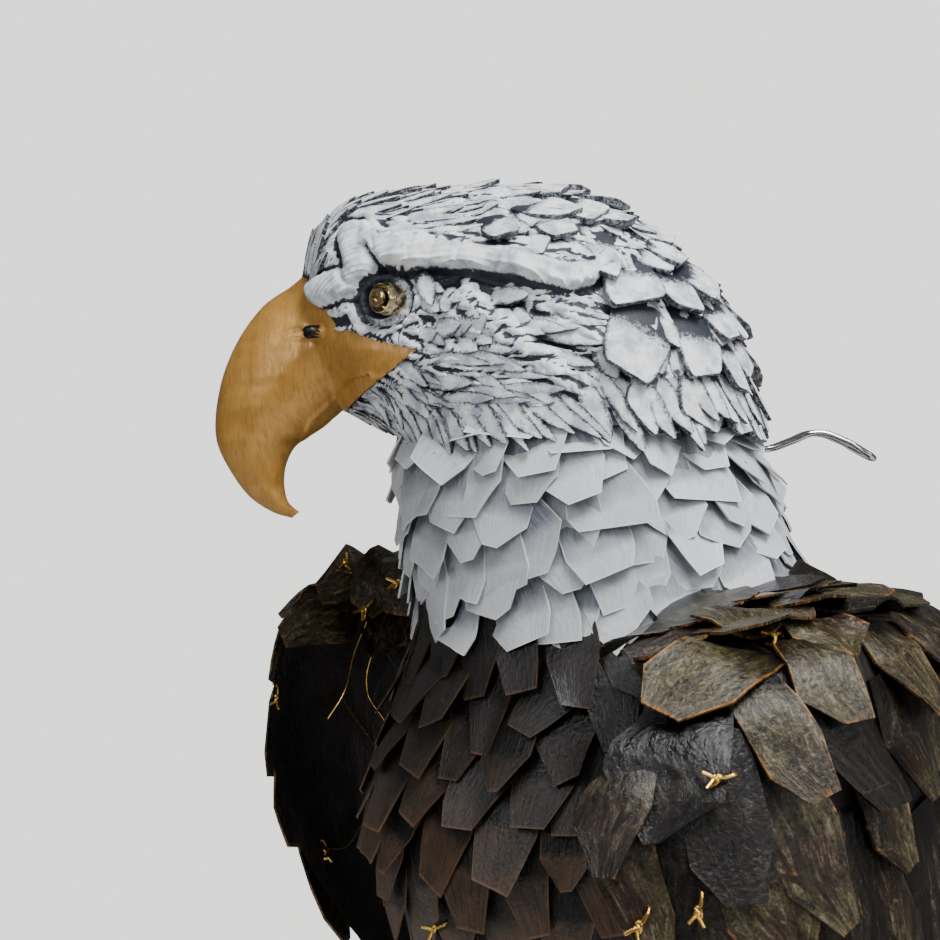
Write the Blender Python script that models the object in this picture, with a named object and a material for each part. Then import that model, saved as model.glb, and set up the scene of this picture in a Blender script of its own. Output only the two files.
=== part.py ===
"""Eagle sculpture on a low round plinth: a carved head over a neck, body, wings and tail covered in cut plates.

Metres, +Z up. The origin is the middle of the plinth's underside, and the bird's body faces -Y.
The figure is drawn in design units, millimetres at its real height, measured up from the plinth's top
and sideways from the top of the neck. Every part of the figure is a share of FIGURE_HEIGHT that way.
"""
import math
import random

import bmesh
import bpy
from mathutils import Matrix, Vector

# The sizes that can be set by themselves.
FIGURE_HEIGHT = 0.637
FIGURE_FORWARD = 0.030
HEAD_TURN = math.radians(30)
PLATE_LIFT = 0.0032
JOINT_GAP = 0.0003
PLINTH_RADIUS = 0.160
PLINTH_HEIGHT = 0.045
PLINTH_CHAMFER = 0.004
EYE_DIAMETER = 0.0140
EYE_DEPTH = 0.0070
NOSTRIL_DIAMETER = 0.0050
NOSTRIL_DEPTH = 0.0060
LOOP_WIRE_DIAMETER = 0.0026
LOOP_WIDTH = 0.0140

DESIGN_HEIGHT = 637.0
UNIT = FIGURE_HEIGHT / DESIGN_HEIGHT

# The plates of each covered piece: how many in a row round it, and how many rows.
NECK_PLATES = (16, 5)
TORSO_PLATES = (18, 8)
HEAD_PLATES = (16, 8)
WING_PLATES = (10, 8)
TAIL_PLATES = (8, 4)
THIGH_PLATES = (8, 5)

# The neck and body, each row: height, middle (back from the neck's top), half width, half depth.
BODY = [
    (537, -1, 67, 72),
    (516, 2, 69, 73),
    (496, 7, 72, 75),
    (476, 13, 75, 77),
    (458, 20, 79, 82),
    (440, 26, 86, 91),
    (420, 29, 90, 101),
    (398, 30, 93, 109),
    (374, 31, 93, 110),
    (350, 33, 92, 104),
    (326, 37, 90, 94),
    (302, 41, 86, 83),
    (278, 46, 79, 76),
    (254, 52, 69, 68),
    (232, 57, 58, 60),
]
# How many of these spans are the white neck.
NECK_SPANS = 4

# The head's profile fans round from the beak to the nape, each row: forward and height of its top line, half width.
HEAD = [
    (111, 602, 18),
    (105, 617, 26),
    (93, 628, 33),
    (73, 632, 39),
    (45, 635, 45),
    (14, 633, 50),
    (-16, 623, 55),
    (-42, 603, 59),
    (-58, 583, 62),
    (-66, 560, 64),
    (-70, 537, 65),
]
CHIN = (93, 545)
THROAT = (72, 537)

# The beak's profile from its root to its tip, each row: top line, underside, half width.
BEAK = [
    (50, 640, 66, 528, 49.5),
    (86, 632, 82, 532, 37.5),
    (106, 616, 89, 538, 27),
    (118, 596, 95, 545, 19),
    (129, 587, 99, 543, 18),
    (138, 575, 105, 538, 16.5),
    (145, 559, 111, 534, 14.5),
    (148, 543, 116, 530, 12),
    (147, 531, 119, 524, 10),
    (141, 519, 120, 519, 8),
    (134, 510, 120, 514, 6),
    (125, 504, 118.5, 508, 4),
    (117, 501.5, 114, 504, 1.2),
]
# The feathers' edge round the beak, forward and height: the mouth's corner, the cheek and the forehead, the chin.
GAPE = (65, 567)
FACE_CHEEK = (97, 577)
FACE_TOP = (112, 598)
FACE_FOOT = (95, 545)
# How far the block that cuts this edge reaches forward and down, and to each side.
FACE_BLOCK_CORNER = (200, 480)
FACE_BLOCK_SIDE = 90

EYE_PLACE = (78, 587)
EYE_TURN_FORWARD = math.radians(18)
EYE_TURN_DOWN = math.radians(4)
SOCKET_DEPTH = 5.0
SOCKET_SPREAD = 15.0
BROW = [(100, 598), (89, 602), (70, 603), (46, 600), (18, 591), (-5, 576)]
BROW_RISE = 6.0
BROW_SPREAD = 6.5
NOSTRIL_PLACE = (107.3, 575.5)

# The left wing from the shoulder's ridge to the tip, each row: front edge, middle and rear edge of its outer face.
WING = [
    ((92, -58, 454), (88, 2, 472), (60, 74, 474)),
    ((138, -80, 447), (148, 2, 462), (84, 116, 456)),
    ((152, -94, 403), (166, -4, 414), (78, 142, 408)),
    ((152, -80, 350), (168, 8, 358), (66, 155, 350)),
    ((145, -46, 300), (161, 32, 302), (58, 163, 292)),
    ((135, 2, 245), (146, 62, 240), (56, 167, 228)),
    ((117, 54, 178), (122, 98, 172), (58, 166, 166)),
    ((92, 112, 108), (84, 134, 102), (66, 158, 104)),
]
WING_EDGE = 8.0
WING_ROOT = 40.0
WING_RIDGE = 14.0
WING_BEND = 2 / 7
# The left wing's front edge is drawn back this much above and below its bend.
LEFT_WING_DRAWN = 16.0
# The right wing is held this much further back and higher.
RIGHT_WING_BACK = 18.0
RIGHT_WING_RAISE = 12.0

# The tail, each row: height, middle, half width.
TAIL = [(232, 104, 36), (190, 110, 40), (145, 118, 46), (95, 128, 52), (45, 138, 57)]
TAIL_THICKNESS = 12.0
TAIL_ARCH = 9.0

# The left thigh, each row: height, sideways, back, radius. Its top is inside the body, which cuts it to shape.
THIGH = [
    (292, 58, 42, 12),
    (266, 58, 38, 36),
    (232, 54, 33, 44),
    (196, 49, 29, 43),
    (160, 46, 26, 38),
    (124, 45, 23, 31),
    (92, 45, 21, 23),
    (66, 45, 20, 15),
]
ANKLE = (45, 20, 66)

TOE_TURNS = [math.radians(-36), 0.0, math.radians(38), math.radians(172)]
TOE_LENGTHS = [0.92, 1.0, 0.9, 0.72]
# One toe from the foot's middle to the claw's point, each row: out, height of its middle, radius.
TOE = [(0, 13, 11), (26, 10, 7.6), (38, 10.5, 8.8), (54, 10, 7.4), (62, 14, 5.4), (72, 12, 3.6), (79, 2.5, 1.2)]
FOOT_MIDDLE = (45, 14)

# The wire loop at the nape: back from the neck's top and height, from inside the neck to the loop's far bend.
LOOP = [(58, 529.5), (76, 529.5), (85, 532.5), (95, 536), (106, 533), (114, 528.5)]


def at(x, y, z):
    """A point of the figure, from design units to the world."""
    return Vector((x * UNIT, y * UNIT - FIGURE_FORWARD, PLINTH_HEIGHT + z * UNIT))


def head_at(forward, side, height):
    """A point of the head: forward to the beak, side to the bird's left, turned as the head is."""
    x = side * math.cos(HEAD_TURN) - forward * math.sin(HEAD_TURN)
    y = -forward * math.cos(HEAD_TURN) - side * math.sin(HEAD_TURN)
    return at(x, y, height)


def along(rows, t):
    """The row at t, from 0 at the first row to 1 at the last, on a smooth curve through all rows."""
    place = min(max(t, 0.0), 1.0) * (len(rows) - 1)
    i = min(int(place), len(rows) - 2)
    s = place - i
    before, a, b, after = (rows[min(max(i + step, 0), len(rows) - 1)] for step in (-1, 0, 1, 2))
    return [
        q + 0.5 * s * (r - p + s * (2 * p - 5 * q + 4 * r - w + s * (3 * (q - r) + w - p)))
        for p, q, r, w in zip(before, a, b, after)
    ]


def near(value, middle, spread):
    """1 at the middle, falling to nothing a few spreads away."""
    return math.exp(-(((value - middle) / spread) ** 2))


def distance_to_line(point, line):
    """How far a flat point is from a line through several points."""
    best = 1e9
    for (ax, ay), (bx, by) in zip(line, line[1:]):
        run = (bx - ax, by - ay)
        share = ((point[0] - ax) * run[0] + (point[1] - ay) * run[1]) / (run[0] ** 2 + run[1] ** 2)
        share = min(max(share, 0.0), 1.0)
        best = min(best, math.hypot(point[0] - ax - share * run[0], point[1] - ay - share * run[1]))
    return best


def painted(name, colour, roughness, metallic=0.0):
    """A plain finish in the piece's own colour."""
    material = bpy.data.materials.new(name)
    material.use_nodes = True
    shader = material.node_tree.nodes["Principled BSDF"]
    shader.inputs["Base Color"].default_value = (*colour, 1)
    shader.inputs["Roughness"].default_value = roughness
    shader.inputs["Metallic"].default_value = metallic
    return material


def add_piece(name, bm, material):
    """Turns a bmesh into a named object with its faces pointing out."""
    bmesh.ops.triangulate(bm, faces=bm.faces[:])
    bmesh.ops.recalc_face_normals(bm, faces=bm.faces[:])
    if bm.calc_volume(signed=True) < 0:
        bmesh.ops.reverse_faces(bm, faces=bm.faces[:])
    mesh = bpy.data.meshes.new(name)
    bm.to_mesh(mesh)
    bm.free()
    mesh.materials.append(material)
    piece = bpy.data.objects.new(name, mesh)
    bpy.context.scene.collection.objects.link(piece)
    return piece


def add_helper(name, bm):
    """A shape that only cuts or joins: left out of the model itself."""
    helper = add_piece(name, bm, FINISHES["dark plate"])
    helper.hide_render = True
    helper.display_type = "WIRE"
    return helper


def combine(piece, helper, operation, solver="EXACT"):
    """Cuts, joins or trims a piece with a helper."""
    step = piece.modifiers.new(helper.name, "BOOLEAN")
    step.operation = operation
    step.solver = solver
    step.object = helper


def mirrored(name, piece):
    """The same mesh on the bird's other side."""
    bm = bmesh.new()
    bm.from_mesh(piece.data)
    bmesh.ops.scale(bm, vec=(-1, 1, 1), verts=bm.verts[:])
    return add_piece(name, bm, piece.data.materials[0])


def outward(surface, u, v):
    """The direction that points out of a surface, from two short steps along it."""
    step = 0.004
    low = max(v - step, 0.0)
    high = min(v + step, 1.0)
    across = surface(u + step, v) - surface(u - step, v)
    down = surface(u, high) - surface(u, low)
    return down.cross(across).normalized()


def plated(surface, plates, lift, seed, strip=False, wide=0.22):
    """A closed skin of overlapping plates over surface(u, v): u runs once round, v from top to foot.

    Each plate starts under the two plates above it, rises to its cut tip and steps down beside and below it.
    lift(u, v) is the tip's height off the surface, and strip closes the ends of a flat form.
    """
    chance = random.Random(seed)
    bm = bmesh.new()
    columns, rows = plates
    pitch = 1 / (rows + 0.3)

    def vertex(u, v, height=0.0):
        point = surface(u % 1.0, v)
        if height:
            point = point + outward(surface, u % 1.0, v) * height
        return bm.verts.new(point)

    def plate_tip(u, v, height):
        return vertex(u, v), vertex(u, v, height)

    top = [vertex(j / (2 * columns), 0.0) for j in range(2 * columns)]
    notches = []
    lefts = []
    rights = []
    for k in range(rows):
        stagger = 0.5 * (k % 2)
        v = (k + 0.6) * pitch
        notches.append([vertex((i + stagger) / columns, v) for i in range(columns)])
        lefts.append([])
        rights.append([])
        for i in range(columns):
            middle = i + stagger + 0.5
            rise = chance.uniform(0.75, 1.0)
            for corners, side in ((lefts, -1), (rights, 1)):
                u = (middle + side * wide * chance.uniform(0.8, 1.2)) / columns
                tip = v + chance.uniform(0.42, 0.66) * pitch
                corners[k].append(plate_tip(u, tip, lift(u, tip) * rise))
    last = 0.5 * ((rows - 1) % 2)
    foot = [vertex((j / 2 + last) / columns, 1.0) for j in range(2 * columns)]

    for k in range(rows):
        for i in range(columns):
            after = (i + 1) % columns
            left, left_tip = lefts[k][i]
            right, right_tip = rights[k][i]
            start, end = notches[k][i], notches[k][after]
            if k == 0:
                peak = top[2 * i + 1]
                shoulder_right, shoulder_left = top[2 * after], top[2 * i]
            else:
                j = after if k % 2 else i
                peak = notches[k - 1][j]
                shoulder_right = lefts[k - 1][j][0]
                shoulder_left = rights[k - 1][j - 1][0]
                bm.faces.new((shoulder_right, rights[k - 1][j][0], end))
            border = [shoulder_right, end, right_tip, left_tip, start, shoulder_left]
            for a, b in zip(border, border[1:]):
                bm.faces.new((peak, a, b))
            bm.faces.new((start, left_tip, left))
            bm.faces.new((left, left_tip, right_tip, right))
            bm.faces.new((right, right_tip, end))
            if k == rows - 1:
                here, under, there = foot[2 * i], foot[2 * i + 1], foot[2 * i + 2 - 2 * columns * (after == 0)]
                bm.faces.new((start, left, under, here))
                bm.faces.new((left, right, under))
                bm.faces.new((right, end, there, under))
    for ring, turn in ((top, 0), (foot, 1 if last else 0)):
        close_end(bm, ring, turn, strip)
    return bm


def close_end(bm, ring, turn, strip):
    """Closes an end with one flat face, or across a flat form from its outer side to its inner side."""
    if not strip:
        bm.faces.new(ring)
        return
    ring = ring[-turn:] + ring[:-turn] if turn else ring
    half = len(ring) // 2
    for j in range(half):
        sides = [ring[j], ring[j + 1], ring[-j - 1], ring[-j]]
        bm.faces.new(list(dict.fromkeys(sides)))


def tube(points, radii, sides, flat_foot=None):
    """A closed round bar along points, with a radius at each, and no lower than flat_foot."""
    bm = bmesh.new()
    rings = []
    side = None
    for i, (point, radius) in enumerate(zip(points, radii)):
        run = (points[min(i + 1, len(points) - 1)] - points[max(i - 1, 0)]).normalized()
        if side is None:
            side = run.cross(Vector((0, 0, 1))) if abs(run.z) < 0.9 else Vector((1, 0, 0))
        side = (side - run * side.dot(run)).normalized()
        up = side.cross(run)
        ring = []
        for j in range(sides):
            angle = 2 * math.pi * (j + 0.5) / sides
            place = point + (side * math.cos(angle) + up * math.sin(angle)) * radius
            if flat_foot is not None:
                place.z = max(place.z, flat_foot)
            ring.append(bm.verts.new(place))
        rings.append(ring)
    for a, b in zip(rings, rings[1:]):
        for j in range(sides):
            bm.faces.new((a[j], a[(j + 1) % sides], b[(j + 1) % sides], b[j]))
    bm.faces.new(rings[0])
    bm.faces.new(rings[-1])
    return bm


def round_bar(start, end, radius, sides):
    """A plain bar from start to end whose flats lie outside the given radius."""
    corner = radius / math.cos(math.pi / sides)
    return tube([start, end], [corner, corner], sides)


def turned(centre, axis, profile, segments):
    """A turned piece: profile rows are distance along the axis and radius, in metres."""
    bm = bmesh.new()
    frame = axis.to_track_quat("Z", "Y").to_matrix().to_4x4()
    frame.translation = centre
    rings = []
    for height, radius in profile:
        if radius == 0:
            rings.append([bm.verts.new(frame @ Vector((0, 0, height)))])
            continue
        rings.append([
            bm.verts.new(frame @ Vector((radius * math.cos(a), radius * math.sin(a), height)))
            for a in (2 * math.pi * (j + 0.5) / segments for j in range(segments))
        ])
    for a, b in zip(rings, rings[1:]):
        for j in range(segments):
            corners = [a[j % len(a)], a[(j + 1) % len(a)], b[(j + 1) % len(b)], b[j % len(b)]]
            bm.faces.new(list(dict.fromkeys(corners)))
    return bm


def smooth(piece, angle=40):
    """Shades a round piece smooth and keeps its real edges sharp."""
    piece.data.shade_smooth()
    piece.data.set_sharp_from_angle(angle=math.radians(angle))


# Plinth.

def make_plinth():
    rim = PLINTH_RADIUS - PLINTH_CHAMFER
    profile = [
        (0, 0),
        (0, rim),
        (PLINTH_CHAMFER, PLINTH_RADIUS),
        (PLINTH_HEIGHT - PLINTH_CHAMFER, PLINTH_RADIUS),
        (PLINTH_HEIGHT, rim),
        (PLINTH_HEIGHT, 0),
    ]
    piece = add_piece("plinth", turned(Vector(), Vector((0, 0, 1)), profile, 40), FINISHES["plinth"])
    smooth(piece)


# Neck and body.

def body_surface(first, last):
    """The part of the neck and body between two rows of BODY, as a surface of u and v."""
    span = len(BODY) - 1

    def surface(u, v):
        height, middle, half_width, half_depth = along(BODY, (first + (last - first) * v) / span)
        angle = 2 * math.pi * u
        return at(half_width * math.cos(angle), middle + half_depth * math.sin(angle), height)

    return surface


def lowered(surface, drop):
    """The same surface, a little lower, so that it keeps clear of what stands on it."""
    return lambda u, v: surface(u, v) - Vector((0, 0, drop))


def make_neck():
    surface = lowered(body_surface(0, NECK_SPANS), JOINT_GAP)
    bm = plated(surface, NECK_PLATES, lambda u, v: PLATE_LIFT, seed=11)
    piece = add_piece("neck", bm, FINISHES["white plate"])
    for side in (-1, 1):
        start, end = loop_point(0, side), loop_point(1, side)
        start = start - (end - start).normalized() * JOINT_GAP
        bore = round_bar(start, end, LOOP_WIRE_DIAMETER / 2 + JOINT_GAP, 12)
        combine(piece, add_helper("loop_bore_left" if side > 0 else "loop_bore_right", bore), "DIFFERENCE")


def make_torso():
    surface = lowered(body_surface(NECK_SPANS, len(BODY) - 1), 2 * JOINT_GAP)
    bm = plated(surface, TORSO_PLATES, lambda u, v: PLATE_LIFT, seed=12)
    add_piece("torso", bm, FINISHES["dark plate"])


def body_clearance():
    """The neck and body with their plates and a gap, as the shape that the wings and thighs are cut to."""
    surface = lowered(body_surface(0, len(BODY) - 1), 3 * JOINT_GAP)
    sides, rows = 32, 22
    flat_loss = max(row[3] for row in BODY) * UNIT * (1 - math.cos(math.pi / sides))
    spare = PLATE_LIFT + JOINT_GAP + flat_loss
    bm = bmesh.new()
    rings = []
    for k in range(rows + 1):
        v = k / rows
        rings.append([
            bm.verts.new(surface(j / sides, v) + outward(surface, j / sides, v) * spare) for j in range(sides)
        ])
    for a, b in zip(rings, rings[1:]):
        for j in range(sides):
            bm.faces.new((a[j], a[(j + 1) % sides], b[(j + 1) % sides], b[j]))
    bm.faces.new(rings[0])
    bm.faces.new(rings[-1])
    return bm


# Head, beak and eyes.

def head_form(u, v, proud=0.0):
    """The head's form without its plates, in design units: forward, side and height."""
    forward, height, half_width = along(HEAD, v)
    low = [c + (t - c) * v for c, t in zip(CHIN, THROAT)]
    angle = 2 * math.pi * u
    middle = ((forward + low[0]) / 2, (height + low[1]) / 2)
    half = ((forward - low[0]) / 2, (height - low[1]) / 2)
    swing = math.sin(angle)
    place = (middle[0] + half[0] * swing, middle[1] + half[1] * swing)
    side = half_width * math.copysign(abs(math.cos(angle)) ** 0.92, math.cos(angle))
    facing = abs(math.cos(angle)) ** 0.5
    brow = BROW_RISE * near(distance_to_line(place, BROW), 0, BROW_SPREAD)
    socket = SOCKET_DEPTH * near(math.dist(place, EYE_PLACE), 0, SOCKET_SPREAD)
    side += math.copysign((brow - socket) * facing + proud, side)
    return place[0], side, place[1]


def head_surface(u, v):
    return head_at(*head_form(u, v))


def head_lift(u, v):
    """Low strokes on the face, growing to plates at the crown and the back, and flat under the chin."""
    back = 0.35 + 0.65 * min(max((v - 0.25) / 0.4, 0.0), 1.0)
    over_chin = min((1 + math.sin(2 * math.pi * u)) / 0.7, 1.0)
    return PLATE_LIFT * (0.08 + 0.92 * over_chin * back)


def face_block(name, forward):
    """A block through the head with the outline of the feathers' edge round the beak, moved forward."""
    far, deep = FACE_BLOCK_CORNER
    rise = (FACE_TOP[1] - FACE_CHEEK[1]) / (FACE_TOP[0] - FACE_CHEEK[0])
    above = (far, FACE_CHEEK[1] + rise * (far - FACE_CHEEK[0]))
    outline = [GAPE, FACE_CHEEK, above, (far, deep), (FACE_FOOT[0] + 2, deep), FACE_FOOT]
    bm = bmesh.new()
    ends = []
    for side in (-FACE_BLOCK_SIDE, FACE_BLOCK_SIDE):
        ends.append([bm.verts.new(head_at(x + forward / UNIT, side, z)) for x, z in outline])
    for j in range(len(outline)):
        after = (j + 1) % len(outline)
        bm.faces.new((ends[0][j], ends[0][after], ends[1][after], ends[1][j]))
    bm.faces.new(ends[0])
    bm.faces.new(ends[1])
    return add_helper(name, bm)


def eye_axis(side):
    """The way an eye looks: to its side, a little forward and down."""
    forward = math.sin(EYE_TURN_FORWARD)
    down = math.sin(EYE_TURN_DOWN)
    tip = head_at(forward, side * math.cos(EYE_TURN_FORWARD), -down)
    return (tip - head_at(0, 0, 0)).normalized()


def eye_centre(side):
    """The middle of the eye where it stands in its socket."""
    best = min(
        (head_form(a / 240, b / 120) for a in range(-60, 60) for b in range(20, 70)),
        key=lambda place: math.dist((place[0], place[2]), EYE_PLACE),
    )
    return head_at(best[0], side * abs(best[1]), best[2])


def make_head():
    bm = plated(head_surface, HEAD_PLATES, head_lift, seed=13)
    piece = add_piece("head", bm, FINISHES["white carving"])
    combine(piece, face_block("feather_edge", 0.0), "DIFFERENCE", "MANIFOLD")
    for side, name in ((1, "left"), (-1, "right")):
        axis = eye_axis(side)
        centre = eye_centre(side)
        radius = EYE_DIAMETER / 2 + JOINT_GAP
        hole = round_bar(centre - axis * (EYE_DEPTH + JOINT_GAP), centre + axis * 0.02, radius, 16)
        combine(piece, add_helper("eye_hole_" + name, hole), "DIFFERENCE", "MANIFOLD")


def make_eye(side, name):
    radius = EYE_DIAMETER / 2
    profile = [
        (-EYE_DEPTH, 0),
        (-EYE_DEPTH, radius),
        (0.0010, radius),
        (0.0022, radius * 0.82),
        (0.0012, radius * 0.66),
        (0.0012, radius * 0.48),
        (0.0030, radius * 0.34),
        (0.0034, 0),
    ]
    bm = turned(eye_centre(side), eye_axis(side), profile, 16)
    smooth(add_piece(name, bm, FINISHES["brass"]))


def beak_surface(u, v):
    top_forward, top_height, low_forward, low_height, half_width = along(BEAK, v)
    angle = 2 * math.pi * u
    swing = math.sin(angle)
    share = (1 + swing) / 2
    across = math.cos(angle) * (1 - 0.18 * max(swing, 0.0))
    forward = low_forward + (top_forward - low_forward) * share
    height = low_height + (top_height - low_height) * share
    return head_at(forward, half_width * across, height)


def make_beak():
    sides, rows = 14, 16
    bm = bmesh.new()
    rings = []
    for k in range(rows + 1):
        rings.append([bm.verts.new(beak_surface(j / sides, k / rows)) for j in range(sides)])
    for a, b in zip(rings, rings[1:]):
        for j in range(sides):
            bm.faces.new((a[j], a[(j + 1) % sides], b[(j + 1) % sides], b[j]))
    bm.faces.new(rings[0])
    bm.faces.new(rings[-1])
    piece = add_piece("beak", bm, FINISHES["ochre"])
    clear = JOINT_GAP / math.sin(math.atan2(FACE_CHEEK[1] - GAPE[1], FACE_CHEEK[0] - GAPE[0]))
    combine(piece, face_block("beak_root", clear), "INTERSECT", "MANIFOLD")
    for side, name in ((1, "left"), (-1, "right")):
        wall = beak_half_width(NOSTRIL_PLACE)
        outer = head_at(NOSTRIL_PLACE[0], side * (wall + 6), NOSTRIL_PLACE[1])
        inner = head_at(NOSTRIL_PLACE[0], side * wall, NOSTRIL_PLACE[1])
        inner = inner - (outer - inner).normalized() * NOSTRIL_DEPTH
        hole = round_bar(inner, outer, NOSTRIL_DIAMETER / 2, 12)
        combine(piece, add_helper("nostril_" + name, hole), "DIFFERENCE", "MANIFOLD")
    smooth(piece, 35)


def beak_half_width(place):
    """How far the beak's side stands from its middle at a place in profile."""
    axis = head_at(0, 1, 0) - head_at(0, 0, 0)
    target = head_at(place[0], 0, place[1])
    best = None
    for a in range(-20, 21):
        for b in range(10, 90):
            point = beak_surface(a / 80, b / 100) - target
            side = point.dot(axis.normalized())
            off = (point - axis.normalized() * side).length
            if side > 0 and (best is None or off < best[0]):
                best = (off, side)
    return best[1] / UNIT


# Wings.

def wing_face(across, v, drawn):
    """A point of a left wing's outer face: across from its front edge to its rear edge."""
    row = along([front + middle + rear for front, middle, rear in WING], v)
    front, middle, rear = row[0:3], row[3:6], row[6:9]
    front[1] += drawn * (1 - near(v, WING_BEND, 0.1))
    to_front = 2 * (across - 0.5) * (across - 1)
    to_middle = -4 * across * (across - 1)
    to_rear = 2 * across * (across - 0.5)
    return at(*(to_front * f + to_middle * m + to_rear * r for f, m, r in zip(front, middle, rear)))


def wing_thickness(across, v):
    """Thin at the edges, with the root that reaches the body behind the shoulder."""
    root = WING_ROOT * near(across, 0.86, 0.24) * near(v, 0.24, 0.17)
    ridge = WING_RIDGE * near(v, 0.0, 0.12) * near(across, 0.55, 0.4)
    return (WING_EDGE + root + ridge) * UNIT


def wing_surface(drawn):
    """A left wing's closed section: its outer face from front to rear, then its inner face back."""

    def surface(u, v):
        if u <= 0.5:
            return wing_face(2 * u, v, drawn)
        across = 2 * (1 - u)
        step = 0.01
        run = wing_face(across + step, v, drawn) - wing_face(across - step, v, drawn)
        fall = wing_face(across, min(v + step, 1.0), drawn) - wing_face(across, max(v - step, 0.0), drawn)
        out = fall.cross(run).normalized()
        return wing_face(across, v, drawn) - out * wing_thickness(across, v)

    return surface


def wing_lift(u, v):
    """Large plates outside and shallow ones on the inner face, flatter towards both ends."""
    reach = 1.25 if 0.0 < u % 1.0 < 0.5 else 0.4
    return PLATE_LIFT * reach * (1 - 0.5 * near(v, 0.0, 0.1) - 0.4 * near(v, 1.0, 0.15))


def make_wings():
    left = plated(wing_surface(LEFT_WING_DRAWN), WING_PLATES, wing_lift, seed=14, strip=True, wide=0.25)
    right = plated(wing_surface(0.0), WING_PLATES, wing_lift, seed=17, strip=True, wide=0.25)
    bmesh.ops.scale(right, vec=(-1, 1, 1), verts=right.verts[:])
    bmesh.ops.translate(right, vec=(0, RIGHT_WING_BACK * UNIT, RIGHT_WING_RAISE * UNIT), verts=right.verts[:])
    hide = FINISHES["olive plate"]
    return add_piece("wing_left", left, hide), add_piece("wing_right", right, hide)


# Tail, thighs and feet.

def tail_surface(u, v):
    height, middle, half_width = along(TAIL, v)
    across = 4 * u - 1 if u <= 0.5 else 3 - 4 * u
    arch = TAIL_ARCH * (1 - across ** 2)
    inner = 0 if u <= 0.5 else TAIL_THICKNESS
    return at(-half_width * across, middle + arch - inner, height) - Vector((0, 0, 3 * JOINT_GAP))


def tail_lift(u, v):
    """Full plates on the upper side and low ones underneath."""
    return PLATE_LIFT * (1.0 if u % 1.0 < 0.5 else 0.5)


def make_tail():
    bm = plated(tail_surface, TAIL_PLATES, tail_lift, seed=15, strip=True)
    add_piece("tail", bm, FINISHES["dark plate"])


def thigh_surface(u, v):
    height, side, back, radius = along(THIGH, v)
    angle = 2 * math.pi * u
    place = at(side + radius * math.cos(angle), back + radius * math.sin(angle), height)
    return place - Vector((0, 0, 3 * JOINT_GAP))


def make_thighs():
    bm = plated(thigh_surface, THIGH_PLATES, lambda u, v: PLATE_LIFT * 0.6, seed=16)
    left = add_piece("thigh_left", bm, FINISHES["dark plate"])
    return left, mirrored("thigh_right", left)


def make_feet():
    ground = PLINTH_HEIGHT + JOINT_GAP
    x, y, z = ANKLE
    toe_x, toe_y = FOOT_MIDDLE
    top = at(x, y, z) - Vector((0, 0, 4 * JOINT_GAP))
    shank = [top, at(x, y, z - 10), at(toe_x, toe_y + 3, 30), at(toe_x, toe_y, 18), at(toe_x, toe_y, 5)]
    radii = [r * UNIT for r in (10.5, 10, 11, 14, 12)]
    left = add_piece("foot_left", tube(shank, radii, 8, ground), FINISHES["yellow"])
    toes = []
    for number, (turn, length) in enumerate(zip(TOE_TURNS, TOE_LENGTHS)):
        way = Matrix.Rotation(turn, 3, "Z") @ Vector((0, -1, 0))
        points = [at(toe_x + way.x * out * length, toe_y + way.y * out * length, high) for out, high, _ in TOE]
        helper = add_helper(f"toe_{number}", tube(points, [r * UNIT for _, _, r in TOE], 6, ground))
        toes.append(helper)
        combine(left, helper, "UNION", "MANIFOLD")
    right = mirrored("foot_right", left)
    for helper in toes:
        other = mirrored(helper.name + "_right", helper)
        other.hide_render = True
        other.display_type = "WIRE"
        combine(right, other, "UNION", "MANIFOLD")
    for foot in (left, right):
        smooth(foot, 50)


# Wire loop at the nape.

def loop_point(number, side):
    """A point of the loop's route on one of its two straight sides."""
    back, height = LOOP[number]
    spread = side * (LOOP_WIDTH - LOOP_WIRE_DIAMETER) / 2 / UNIT
    return head_at(-back, spread, height)


def make_loop():
    half = (LOOP_WIDTH - LOOP_WIRE_DIAMETER) / 2
    left = [loop_point(n, 1) for n in range(len(LOOP))]
    right = [loop_point(n, -1) for n in range(len(LOOP))]
    run = (left[-1] - left[-2]).normalized()
    across = (left[-1] - right[-1]).normalized()
    middle = (left[-1] + right[-1]) / 2
    bend = []
    for j in range(1, 8):
        angle = math.pi * j / 8
        bend.append(middle + across * half * math.cos(angle) + run * half * math.sin(angle))
    route = left + bend + right[::-1]
    piece = add_piece("nape_loop", tube(route, [LOOP_WIRE_DIAMETER / 2] * len(route), 6), FINISHES["steel"])
    smooth(piece, 60)


for old in list(bpy.data.objects):
    bpy.data.objects.remove(old)

FINISHES = {
    "plinth": painted("stained wood", (0.045, 0.028, 0.018), 0.45),
    "white carving": painted("white paint over dark clay", (0.66, 0.67, 0.70), 0.6),
    "white plate": painted("white painted sheet", (0.58, 0.60, 0.64), 0.5),
    "dark plate": painted("dark brown hide", (0.05, 0.035, 0.028), 0.45),
    "olive plate": painted("olive brown hide", (0.09, 0.07, 0.045), 0.4),
    "ochre": painted("gold ochre paint", (0.46, 0.25, 0.06), 0.35),
    "brass": painted("turned brass", (0.6, 0.42, 0.16), 0.25, 1.0),
    "yellow": painted("yellow paint", (0.45, 0.28, 0.06), 0.45),
    "steel": painted("polished steel", (0.7, 0.7, 0.7), 0.15, 1.0),
}

make_plinth()
make_head()
make_eye(1, "eye_left")
make_eye(-1, "eye_right")
make_beak()
make_neck()
make_torso()
make_tail()
clearance = add_helper("body_clearance", body_clearance())
for limb in (*make_wings(), *make_thighs()):
    combine(limb, clearance, "DIFFERENCE")
make_feet()
make_loop()
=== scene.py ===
"""Eagle sculpture: the carved head, the cut plates, the wire ties and their finishes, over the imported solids.

Points are written in millimetres, as in the part's drawing: the figure is measured up from the plinth's top and
sideways from the top of the neck, and the head forward from there, to its side and up.
"""
import math
import random

import bmesh
import bpy
import numpy as np
from mathutils import Matrix, Vector
from mathutils.bvhtree import BVHTree


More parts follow.
